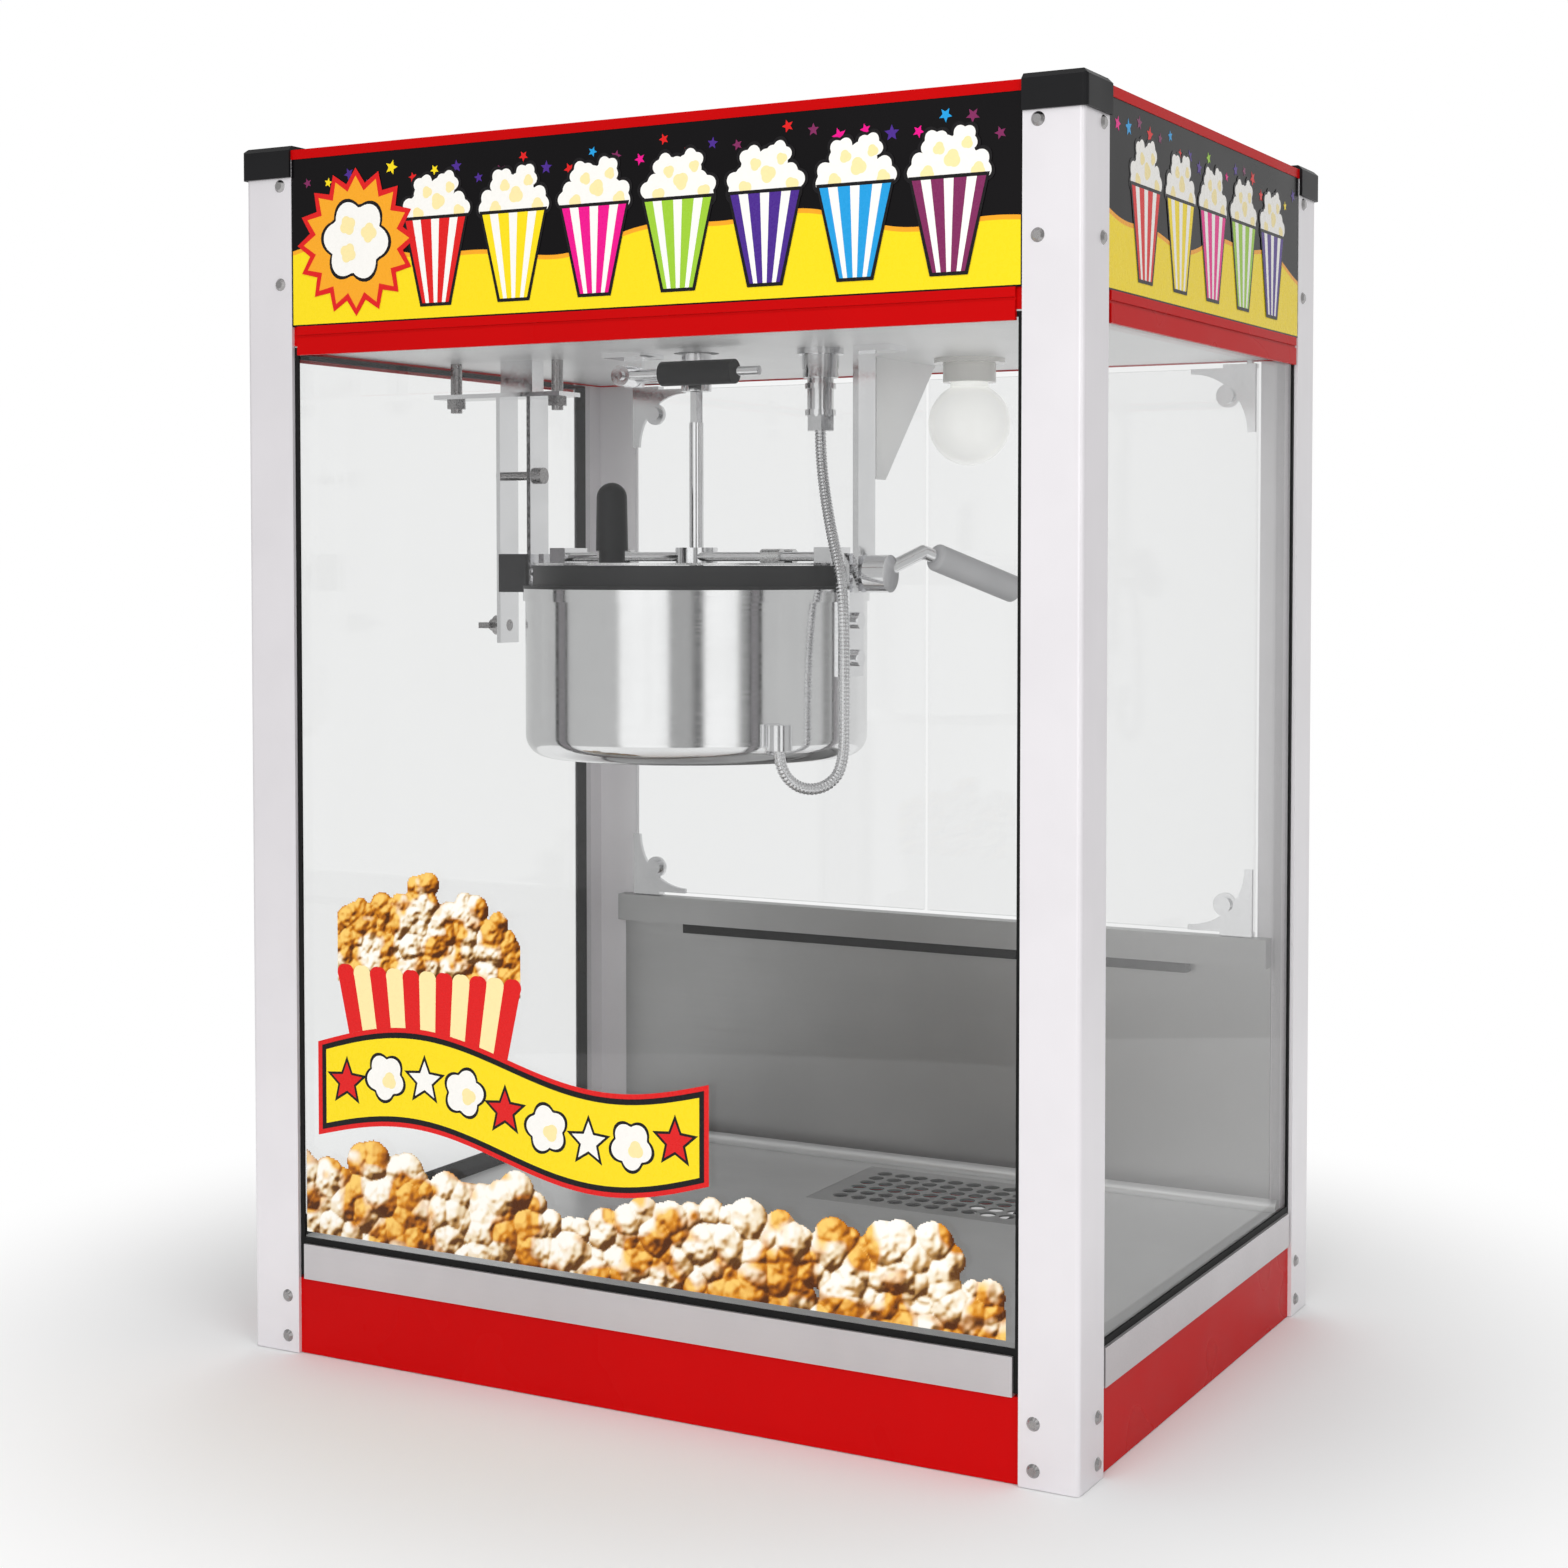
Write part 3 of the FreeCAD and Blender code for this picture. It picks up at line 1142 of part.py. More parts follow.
def lever():
    """Lever on a level pivot, with a finger pin in the sleeve's groove and a grip in front."""
    hub_front = f"{FINGER_BACK} - lever_hub_length"
    pivot = (LEVER_X, GROOVE_MID)
    hub = rod("lever_hub_radius", (hub_front, FINGER_BACK), pivot, "y")
    finger = box((LEVER_X, "kettle_x + 2*lever_pin_radius"), (f"{FINGER_BACK} - lever_finger_gauge", FINGER_BACK),
                 centred(GROOVE_MID, "lever_finger_height"))
    pin = rod("lever_pin_radius", (f"{FINGER_BACK} - 1", "kettle_y - sleeve_radius + sleeve_groove_depth - 1"),
              ("kettle_x", GROOVE_MID), "y")
    line = ("kettle_y - lever_rod_offset", GROOVE_MID)
    bar = rod("lever_rod_radius", (LEVER_X, "kettle_x + lever_rod_end"), line, "x")
    bore = rod("lever_pivot_radius + run_clear", (f"{hub_front} - 1", f"{FINGER_BACK} + 1"), pivot, "y")
    node("lever_arm", cut(fuse(hub, finger, pin, bar), bore))
    grip_x = ("kettle_x + lever_grip_start", "kettle_x + lever_grip_start + lever_grip_length")
    node("lever_grip", cut(rod("lever_grip_radius", grip_x, line, "x"), rod("lever_rod_radius", grip_x, line, "x")))
    cheek_y = (f"{FINGER_BACK} + 0.5", f"{FINGER_BACK} + 0.5 + bracket_gauge")
    cheek = box(centred(LEVER_X, "2*lever_hub_radius"), cheek_y, (f"{GROOVE_MID} - lever_hub_radius", CEILING))
    flange = box(centred(LEVER_X, "bracket_length"), centred(FINGER_BACK, "bracket_length"),
                 (f"{CEILING} - bracket_gauge", CEILING))
    axle = rod("lever_pivot_radius", (f"{hub_front} - 2", cheek_y[1]), pivot, "y")
    node("lever_bracket", fuse(cheek, flange, axle))


drive()
lever()

# Heater socket, plug and lead
PLUG_TOP = f"({CEILING} - socket_drop)"
PLUG_LOW = f"({PLUG_TOP} - plug_collar - plug_length)"


def heater_plug():
    """Flanged socket under the ceiling, and the ringed plug in it with its collar and clamp nut."""
    spot = ("plug_x", "plug_y")
    node("heater_socket", fuse(rod("socket_radius", (f"{CEILING} - 4", CEILING), spot),
                               rod("socket_radius - 3", (PLUG_TOP, CEILING), spot),
                               rod("socket_radius - 4", (f"{CEILING} - 1", f"{CEILING} + 8"), spot)))
    neck = f"({PLUG_TOP} - plug_collar)"
    clamp = f"({PLUG_LOW} + clamp_length)"
    node("heater_plug", fuse(rod("plug_collar_radius", (neck, PLUG_TOP), spot),
                             rod("plug_radius", (f"{clamp} - 1", f"{neck} + 1"), spot),
                             rod("plug_radius + 1.5", (f"{neck} - 2*plug_ring", f"{neck} - plug_ring"), spot),
                             rod("plug_radius + 1.5", (clamp, f"{clamp} + plug_ring"), spot),
                             hexagon("clamp_radius", (PLUG_LOW, clamp), spot)))


# The lead's route: steps from the kettle's right side at the tilt axis, then steps from the gland's mouth
SIDE_STEPS = [(-9, -10, 33), (9, -27, -3), (13.5, -32, -40), (14.3, -33.8, -80)]
LOOP_STEPS = [(28.3, 33, -12), (20, 23.3, -24.7), (8.3, 9.7, -24.7)]


def heater_lead():
    """Round lead along straight runs joined by tangent arcs."""
    doc.recompute()
    plug_low = next(item for item in nodes if item.Label == "heater_plug").Shape.BoundBox.ZMin
    start = FreeCAD.Vector(size("plug_x"), size("plug_y"), plug_low)
    finish = FreeCAD.Vector(size("gland_x"), size("gland_y"), size("gland_low"))
    side_point = FreeCAD.Vector(size("kettle_x") + size("kettle_radius"), size("kettle_y"), size("tilt_height"))
    route = [start, start - FreeCAD.Vector(0, 0, size("lead_plug_run")),
             *[side_point + FreeCAD.Vector(*step) for step in SIDE_STEPS],
             *[finish + FreeCAD.Vector(*step) for step in LOOP_STEPS],
             finish - FreeCAD.Vector(0, 0, size("lead_gland_run")), finish]
    edges = []
    last = route[0]
    for before, corner, after in zip(route, route[1:], route[2:]):
        back = before - corner
        onward = after - corner
        half_turn = (math.pi - back.getAngle(onward)) / 2
        setback = 0.45 * min(back.Length, onward.Length)
        radius = setback / math.tan(half_turn)
        back.normalize()
        onward.normalize()
        enter = corner + back * setback
        leave = corner + onward * setback
        bisector = (back + onward).normalize()
        middle = corner + bisector * (radius / math.cos(half_turn) - radius)
        edges.append(Part.LineSegment(last, enter).toShape())
        edges.append(Part.Arc(enter, middle, leave).toShape())
        last = leave
    edges.append(Part.LineSegment(last, route[-1]).toShape())
    path = Part.Wire(edges)
    ring = Part.Wire([Part.Circle(route[0], route[1] - route[0], size("lead_radius")).toShape()])
    tube = path.makePipeShell([ring], True, True)
    feature = doc.addObject("Part::Feature", "Lead")
    feature.Shape = tube
    node("heater_lead", feature)


heater_plug()
heater_lead()

# Lamp


def lamp():
    """Globe bulb in a flanged holder through the ceiling."""
    spot = ("lamp_x", "lamp_y")
    mouth = (f"{CEILING} - holder_drop", f"{CEILING} - 1")
    holder = fuse(rod("holder_flange_radius", (f"{CEILING} - holder_flange", CEILING), spot),
                  rod("holder_radius - run_clear", (mouth[0], f"{CEILING} + holder_drop"), spot))
    socket = rod("bulb_neck_radius + run_clear", (f"{mouth[0]} - 1", mouth[1]), spot)
    node("lamp_holder", cut(holder, socket))
    globe_z = f"({CEILING} - bulb_drop)"
    node("lamp_bulb", fuse(ball("bulb_radius", *spot, globe_z),
                           rod("bulb_neck_radius", (globe_z, mouth[1]), spot)))


def lamp_shield():
    """Plate that keeps splashes from the bulb, tapered to a tip at its front, with a foot on the ceiling."""
    front, rear = centred("lamp_y", "shield_width")
    low = f"{CEILING} - shield_height"
    plate = padded("YZ_Plane", [(front, CEILING), (rear, CEILING), (f"({front}) + shield_tip", low), (front, low)],
                   "gauge")
    place(plate, "shield_x", "0", "0")
    foot = box(("shield_x - holder_drop", "shield_x + gauge"), (front, rear), (f"{CEILING} - gauge", CEILING))
    node("lamp_shield", fuse(plate, foot))


lamp()
lamp_shield()

# Check every object, then write one file for each sub-part
doc.recompute()
for thing in doc.Objects:
    if {"Invalid", "Error"} & set(thing.State):
        raise RuntimeError(f"{thing.Label} failed: {thing.State}")
for thing in nodes:
    if thing.Shape.isNull() or not thing.Shape.isValid():
        raise RuntimeError(f"{thing.Label} has no valid shape")
os.makedirs("parts", exist_ok=True)
for thing in nodes:
    thing.Shape.exportStep(f"parts/{thing.Label}.step")
print(len(nodes), "sub-parts written")
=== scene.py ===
"""Looks of a counter-top popcorn machine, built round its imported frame.

Metres, +Z up, the glazed front towards -Y. Every surface is worked out with numpy from
sizes held by the class of its sub-assembly.
"""
import logging
import math
from dataclasses import dataclass, field
from enum import Enum

import bpy
import numpy as np
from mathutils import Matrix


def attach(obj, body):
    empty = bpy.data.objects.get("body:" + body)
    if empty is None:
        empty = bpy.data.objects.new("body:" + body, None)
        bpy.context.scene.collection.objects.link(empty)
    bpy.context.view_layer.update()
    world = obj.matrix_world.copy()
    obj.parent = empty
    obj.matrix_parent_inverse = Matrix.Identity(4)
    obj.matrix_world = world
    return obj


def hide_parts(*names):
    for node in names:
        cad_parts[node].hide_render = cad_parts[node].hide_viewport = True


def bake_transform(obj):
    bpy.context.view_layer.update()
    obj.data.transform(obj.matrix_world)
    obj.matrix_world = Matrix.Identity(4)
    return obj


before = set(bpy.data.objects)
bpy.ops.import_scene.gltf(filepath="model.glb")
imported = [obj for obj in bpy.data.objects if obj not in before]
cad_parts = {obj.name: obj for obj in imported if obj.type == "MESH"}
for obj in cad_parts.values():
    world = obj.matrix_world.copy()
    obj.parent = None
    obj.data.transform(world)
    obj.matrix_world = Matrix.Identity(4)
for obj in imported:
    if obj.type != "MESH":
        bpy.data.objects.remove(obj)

log = logging.getLogger("popcorn_machine")
Colour = tuple[float, float, float]
Point = tuple[float, float, float]
Pair = tuple[float, float]
Stops = tuple[tuple[float, Colour], ...]
Array = np.ndarray
Socket = bpy.types.NodeSocket
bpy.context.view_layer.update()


def srgb(red: int, green: int, blue: int) -> Colour:
    """Linear colour from display values.

    Args:
        red: Red from 0 to 255.
        green: Green from 0 to 255.
        blue: Blue from 0 to 255.

    Returns:
        Linear red, green and blue from 0 to 1.
    """
    share = np.array([red, green, blue]) / 255.0
    linear = np.where(share <= 0.04045, share / 12.92, ((share + 0.055) / 1.055) ** 2.4)
    return tuple(float(part) for part in linear)


class Tint(Enum):
    """Printing inks and film colours."""

    BLACK = srgb(22, 20, 22)
    YELLOW = srgb(249, 221, 30)
    GOLD = srgb(246, 168, 40)
    RED = srgb(222, 32, 32)
    WHITE = srgb(247, 245, 240)
    MAGENTA = srgb(236, 20, 140)
    GREEN = srgb(158, 205, 58)
    VIOLET = srgb(76, 44, 140)
    BLUE = srgb(38, 158, 222)
    PLUM = srgb(128, 44, 92)
    CREAM = srgb(250, 232, 170)


class Grain(Enum):
    """Way that a streaked finish runs, as scales of the streak noise along x, y and z."""

    UPRIGHT = (900.0, 900.0, 9.0)
    ALONG_X = (9.0, 900.0, 900.0)
    ALONG_Y = (900.0, 9.0, 900.0)
    RINGS = (14.0, 14.0, 1400.0)
    EVEN = (420.0, 420.0, 420.0)


class Shader:
    """Node tree of a material or of the surround, with short calls to add and join nodes."""

    MIDDLE_RANGE: Pair = (0.3, 0.7)

    def __init__(
            self, holder: bpy.types.Material | bpy.types.World,
            output: str = "ShaderNodeOutputMaterial") -> None:
        """Start an empty tree with its output node.

        Args:
            holder: Material or world that owns the tree.
            output: Blender's type of the output node.
        """
        holder.use_nodes = True
        self.material = holder
        self.tree = holder.node_tree
        self.tree.nodes.clear()
        self.output = self.add(output)

    @classmethod
    def named(cls, name: str) -> "Shader":
        """Start the tree of a new material."""
        return cls(bpy.data.materials.new(name))

    def add(self, kind: str, **values: object) -> bpy.types.Node:
        """Add a node.

        Args:
            kind: Blender's node type.
            values: Node settings by name, or socket values by name with underscores for spaces.

        Returns:
            The new node.
        """
        node = self.tree.nodes.new(kind)
        for key, value in values.items():
            if hasattr(node, key):
                setattr(node, key, value)
            else:
                node.inputs[key.replace("_", " ")].default_value = value
        return node

    def join(self, source: Socket, target: Socket) -> None:
        """Link an output socket to an input socket."""
        self.tree.links.new(source, target)

    def noise(self, scale: Point, detail: float = 3.0) -> Socket:
        """Noise on object coordinates.

        Args:
            scale: Stretch along x, y and z.
            detail: Octaves of finer noise.

        Returns:
            Socket of the noise's value.
        """
        place = self.add("ShaderNodeTexCoord")
        stretch = self.add("ShaderNodeMapping", Scale=scale)
        noise = self.add("ShaderNodeTexNoise", Scale=1.0, Detail=detail, Roughness=0.6)
        self.join(place.outputs["Object"], stretch.inputs["Vector"])
        self.join(stretch.outputs["Vector"], noise.inputs["Vector"])
        return noise.outputs["Fac"]

    def window(self, source: Socket, start: float, end: float, low: float = 0.0, high: float = 1.0) -> Socket:
        """Smooth step of a value.

        Args:
            source: Socket of the value.
            start: Value at which the step begins.
            end: Value at which it is done.
            low: Result before the step.
            high: Result after it.

        Returns:
            Socket of the result.
        """
        step = self.add(
            "ShaderNodeMapRange", interpolation_type="SMOOTHSTEP", From_Min=start, From_Max=end,
            To_Min=low, To_Max=high)
        self.join(source, step.inputs["Value"])
        return step.outputs["Result"]

    def spread(self, source: Socket, low: float, high: float) -> Socket:
        """Stretch a noise's middle range to low and high; gives the result's socket."""
        return self.window(source, *self.MIDDLE_RANGE, low, high)

    def shade(self, source: Socket, dark: Colour, light: Colour) -> Socket:
        """Mix two colours by a value.

        Args:
            source: Socket of the value.
            dark: Colour at 0.
            light: Colour at 1.

        Returns:
            Socket of the mixed colour.
        """
        mix = self.add("ShaderNodeMix", data_type="RGBA")
        mix.inputs[6].default_value = (*dark, 1.0)
        mix.inputs[7].default_value = (*light, 1.0)
        self.join(source, mix.inputs["Factor"])
        return mix.outputs[2]

    def sum(self, kind: str, first: object, second: object, third: object = 0.0) -> Socket:
        """One step of arithmetic.

        Args:
            kind: Blender's name of the operation.
            first: Socket or plain number.
            second: Socket or plain number.
            third: Socket or plain number, where the operation has one.

        Returns:
            Socket of the result.
        """
        node = self.add("ShaderNodeMath", operation=kind)
        for place, value in zip(node.inputs, (first, second, third)):
            if isinstance(value, (int, float)):
                place.default_value = value
            else:
                self.join(value, place)
        return node.outputs["Value"]

    def bump(self, source: Socket, depth: float, strength: float) -> Socket:
        """Bump from a value.

        Args:
            source: Socket of the value.
            depth: Depth of the relief in metres.
            strength: Share of the relief that shows.

        Returns:
            Socket of the bumped normal.
        """
        bump = self.add("ShaderNodeBump", Strength=strength, Distance=depth)
        self.join(source, bump.inputs["Height"])
        return bump.outputs["Normal"]

    def mixed(self, share: Socket, first: Socket, second: Socket) -> None:
        """Mix two surface shaders and join the mix to the output.

        Args:
            share: Socket of the second shader's share.
            first: Socket of the first shader.
            second: Socket of the second shader.
        """
        mix = self.add("ShaderNodeMixShader")
        self.join(share, mix.inputs["Fac"])
        self.join(first, mix.inputs[1])
        self.join(second, mix.inputs[2])
        self.join(mix.outputs["Shader"], self.output.inputs["Surface"])

    def principled(self, **values: object) -> bpy.types.Node:
        """Add the surface shader and join it to the output.

        Args:
            values: Socket values by name with underscores for spaces.

        Returns:
            The surface shader's node.
        """
        surface = self.add("ShaderNodeBsdfPrincipled", **values)
        self.join(surface.outputs["BSDF"], self.output.inputs["Surface"])
        return surface


@dataclass(frozen=True)
class Metal:
    """Bare or plated metal with streaks that run one way."""

    name: str
    colour: Colour
    roughness: Pair
    grain: Grain
    tone: float = 0.9
    anisotropy: float = 0.0
    depth: float = 0.00001
    bareness: float = 1.0

    def material(self) -> bpy.types.Material:
        """A slow cloud varies the tone; streaks vary the gloss and raise a fine bump.

        Returns:
            The finish's material.
        """
        shader = Shader.named(self.name)
        streak = shader.noise(self.grain.value)
        cloud = shader.noise((18.0, 18.0, 18.0), 2.0)
        surface = shader.principled(Metallic=self.bareness, Anisotropic=self.anisotropy)
        dark = tuple(part * self.tone for part in self.colour)
        tone = shader.shade(shader.spread(cloud, 0.0, 1.0), dark, self.colour)
        shader.join(tone, surface.inputs["Base Color"])
        shader.join(shader.spread(streak, *self.roughness), surface.inputs["Roughness"])
        shader.join(shader.bump(streak, self.depth, 0.35), surface.inputs["Normal"])
        return shader.material


@dataclass(frozen=True)
class Coat:
    """Paint, moulded plastic, rubber or enamel: a body colour with its own grain."""

    name: str
    colour: Colour
    roughness: Pair
    grain_scale: float
    depth: float
    tone: float = 0.85
    gloss_coat: float = 0.0
    glow: float = 0.0
    shine: float = 0.3
    ior: float = 1.5

    def material(self) -> bpy.types.Material:
        """Fine grain raises a bump, and a slow cloud varies the tone and gloss.

        Returns:
            The finish's material.
        """
        shader = Shader.named(self.name)
        grain = shader.noise((self.grain_scale,) * 3, 4.0)
        cloud = shader.noise((11.0, 11.0, 11.0), 2.0)
        surface = shader.principled(
            Coat_Weight=self.gloss_coat, Coat_Roughness=0.08, Specular_IOR_Level=self.shine, IOR=self.ior)
        dark = tuple(part * self.tone for part in self.colour)
        tone = shader.shade(shader.spread(cloud, 0.0, 1.0), dark, self.colour)
        shader.join(tone, surface.inputs["Base Color"])
        shader.join(shader.spread(cloud, *self.roughness), surface.inputs["Roughness"])
        shader.join(shader.bump(grain, self.depth, 0.4), surface.inputs["Normal"])
        if self.glow:
            surface.inputs["Emission Color"].default_value = (*self.colour, 1.0)
            surface.inputs["Emission Strength"].default_value = self.glow
        return shader.material


@dataclass(frozen=True)
class Clear:
    """Clear glass or acrylic sheet, seen straight through and mirrored at each face."""

    name: str
    colour: Colour
    mirror: float = 0.04

    def material(self) -> bpy.types.Material:
        """Share mirrored = mirror + (1 - mirror) (1 - cosine)^5; the rest passes with the sheet's tint.

        Returns:
            The finish's material.
        """
        shader = Shader.named(self.name)
        slant = shader.add("ShaderNodeLayerWeight", Blend=0.5)
        grazing = shader.sum("POWER", slant.outputs["Facing"], 5.0)
        share = shader.sum("MULTIPLY_ADD", grazing, 1.0 - self.mirror, self.mirror)
        through = shader.add("ShaderNodeBsdfTransparent", Color=(*self.colour, 1.0))
        gloss = shader.add("ShaderNodeBsdfGlossy", Roughness=0.0)
        shader.mixed(share, through.outputs["BSDF"], gloss.outputs["BSDF"])
        return shader.material


@dataclass(frozen=True)
class Printed:
    """Printed film that takes its ink from the piece's own colour attribute."""

    name: str
    roughness: float
    ATTRIBUTE = "ink"

    def material(self) -> bpy.types.Material:
        """Ink colour with a faint mottle in its gloss.

        Returns:
            The finish's material.
        """
        shader = Shader.named(self.name)
        ink = shader.add("ShaderNodeAttribute", attribute_name=self.ATTRIBUTE)
        mottle = shader.noise((260.0, 260.0, 260.0))
        surface = shader.principled(Specular_IOR_Level=0.2)
        shader.join(ink.outputs["Color"], surface.inputs["Base Color"])
        shader.join(shader.spread(mottle, self.roughness, self.roughness + 0.12), surface.inputs["Roughness"])
        return shader.material


Finish = Metal | Coat | Clear | Printed


class Finishes:
    """The machine's finishes, made once and shared by its pieces."""

    POST = Metal("anodised_post", (0.81, 0.785, 0.81), (0.28, 0.40), Grain.UPRIGHT, 0.97, bareness=0.32)
    # Painted light: the rear posts take a paler, less metallic copy of the post finish, to make up for the
    # shade they stand in behind the glass and under the header.
    REAR_POST_PAINTED_LIGHT = Metal(
        "anodised_rear_post_painted_light", (0.86, 0.84, 0.86), (0.28, 0.40), Grain.UPRIGHT, 0.97, bareness=0.1)
    SILL = Metal("anodised_sill", (0.60, 0.575, 0.585), (0.30, 0.42), Grain.ALONG_X, 0.95, bareness=0.6)
    SHEET = Metal("brushed_sheet", (0.46, 0.46, 0.46), (0.38, 0.46), Grain.ALONG_X, 0.95, 0.3, 0.000002)
    DECK = Metal("floor_sheet", (0.70, 0.70, 0.70), (0.28, 0.36), Grain.ALONG_X, 0.95, 0.3, 0.000002, 0.7)
    SCREEN = Metal("screen_sheet", (0.56, 0.56, 0.56), (0.30, 0.40), Grain.ALONG_X, 0.92, 0.0, 0.000002)
    LID = Metal("brushed_lid", (0.78, 0.78, 0.78), (0.20, 0.30), Grain.ALONG_Y, 0.92, 0.3, 0.000004)
    CEILING = Metal("pale_sheet", (0.88, 0.88, 0.88), (0.34, 0.44), Grain.ALONG_X, 0.96, 0.0, 0.000004, 0.6)
    BAR = Metal("bright_bar", (0.90, 0.90, 0.91), (0.08, 0.16), Grain.EVEN, 0.92, 0.0, 0.000004)
    SCREW = Metal("screw_steel", (0.42, 0.41, 0.41), (0.18, 0.30), Grain.EVEN, 0.85, 0.0, 0.000004)
    SHELL = Metal("polished_shell", (0.88, 0.88, 0.885), (0.07, 0.14), Grain.RINGS, 0.96, 0.4, 0.000004)
    CAST = Metal("plated_casting", (0.80, 0.80, 0.81), (0.10, 0.20), Grain.EVEN, 0.9, 0.0, 0.000008)
    SHEATH = Metal("heater_sheath", (0.30, 0.26, 0.24), (0.3, 0.5), Grain.EVEN, 0.7)
    LEAD = Metal("braided_sleeve", (0.80, 0.80, 0.81), (0.18, 0.3), Grain.EVEN, 0.85)
    RED = Coat("red_enamel", srgb(198, 8, 10), (0.24, 0.34), 420.0, 0.00001, 0.96, 0.04, shine=0.5, ior=1.12)
    BLACK = Coat("black_moulding", (0.011, 0.011, 0.012), (0.34, 0.5), 1900.0, 0.00003, 0.8, shine=0.16)
    RUBBER = Coat("seal_rubber", (0.008, 0.008, 0.008), (0.55, 0.72), 1200.0, 0.00003, 0.8, shine=0.2)
    PAN = Coat("nonstick_pan", (0.010, 0.010, 0.011), (0.36, 0.5), 1500.0, 0.00002, 0.75)
    # Dark finish: the bearing block's own dark iron, and on the crumb drawer painted shade, near black so
    # that the kernel screen's holes look shaded.
    DARK_IRON_AND_PAINTED_SHADE = Coat("dark_iron_and_painted_shade", (0.03, 0.03, 0.032), (0.38, 0.55), 900.0, 0.00004, 0.7)
    MOTOR = Coat("motor_paint", (0.08, 0.09, 0.10), (0.32, 0.46), 700.0, 0.00005, 0.85)
    CERAMIC = Coat("white_ceramic", (0.82, 0.81, 0.78), (0.14, 0.24), 300.0, 0.00002, 0.95, 0.4)
    BULB = Coat("lit_bulb", (0.86, 0.86, 0.84), (0.1, 0.16), 300.0, 0.00001, 0.98, 0.3, 0.45)
    GRIP = Coat("grey_grip", srgb(190, 190, 192), (0.36, 0.5), 1500.0, 0.00004, 0.8)
    SIGN = Coat("sign_film", srgb(12, 10, 12), (0.2, 0.28), 500.0, 0.00001, 0.9, 0.0, shine=0.15)
    GLASS = Clear("clear_glass", (0.975, 0.977, 0.976))
    DOOR = Clear("clear_door", (0.975, 0.977, 0.977))
    PRINT = Printed("printed_film", 0.22)

    _made: dict[str, bpy.types.Material] = {}

    @classmethod
    def get(cls, finish: Finish) -> bpy.types.Material:
        """Material of a finish, made at its first use.

        Args:
            finish: One of the finishes above.

        Returns:
            The material that all its pieces share.
        """
        if finish.name not in cls._made:
            cls._made[finish.name] = finish.material()
        return cls._made[finish.name]

    @classmethod
    def dress(cls, choice: dict[Finish, tuple[str, ...]]) -> None:
        """Give frame nodes their finishes.

        Args:
            choice: Names of the nodes that take each finish.
        """
        for finish, nodes in choice.items():
            for name in nodes:
                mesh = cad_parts[name].data
                mesh.materials.clear()
                mesh.materials.append(cls.get(finish))


def grid_faces(rows: int, columns: int, wrap: bool = False) -> Array:
    """Quads of a grid of points.

    Args:
        rows: Points along the first parameter.
        columns: Points along the second parameter.
        wrap: Join the last column to the first.

    Returns:
        One row of four point numbers for each quad.
    """
    across = np.arange(columns if wrap else columns - 1)
    row, column = np.meshgrid(np.arange(rows - 1), across, indexing="ij")
    ahead = (column + 1) % columns
    here = row * columns
    above = (row + 1) * columns
    corners = [here + column, here + ahead, above + ahead, above + column]
    return np.stack([corner.ravel() for corner in corners], axis=1)


def fan_faces(spokes: int) -> Array:
    """Triangles from a first middle point to a ring of points round it."""
    spoke = np.arange(spokes)
    return np.stack([np.zeros(spokes, int), spoke + 1, (spoke + 1) % spokes + 1], axis=1)


def solid_object(name: str, points: Array, faces: list[Array], smooth: bool = True) -> bpy.types.Object:
    """Object at the origin from arrays.

    Args:
        name: Name of the piece.
        points: One row of x, y and z for each point.
        faces: Arrays of point numbers, one row for each face.
        smooth: Shade the faces smoothly.

    Returns:
        The new object, linked to the scene.
    """
    mesh = bpy.data.meshes.new(name)
    mesh.from_pydata(points.tolist(), [], [row for part in faces for row in part.tolist()])
    mesh.polygons.foreach_set("use_smooth", np.full(len(mesh.polygons), smooth))
    mesh.update()
    piece = bpy.data.objects.new(name, mesh)
    bpy.context.scene.collection.objects.link(piece)
    return piece


@dataclass(frozen=True)
class Panel:
    """A flat face that carries a print: its zero point, level direction and outward side."""

    origin: Point
    right: Point
    outward: Point

    def place(self, x: Array, z: Array, lift: float) -> Array:
        """Point = origin + x right + z up + lift outward."""
        flat = np.outer(x.ravel(), self.right) + np.outer(z.ravel(), (0.0, 0.0, 1.0))
        return np.array(self.origin) + flat + lift * np.array(self.outward)


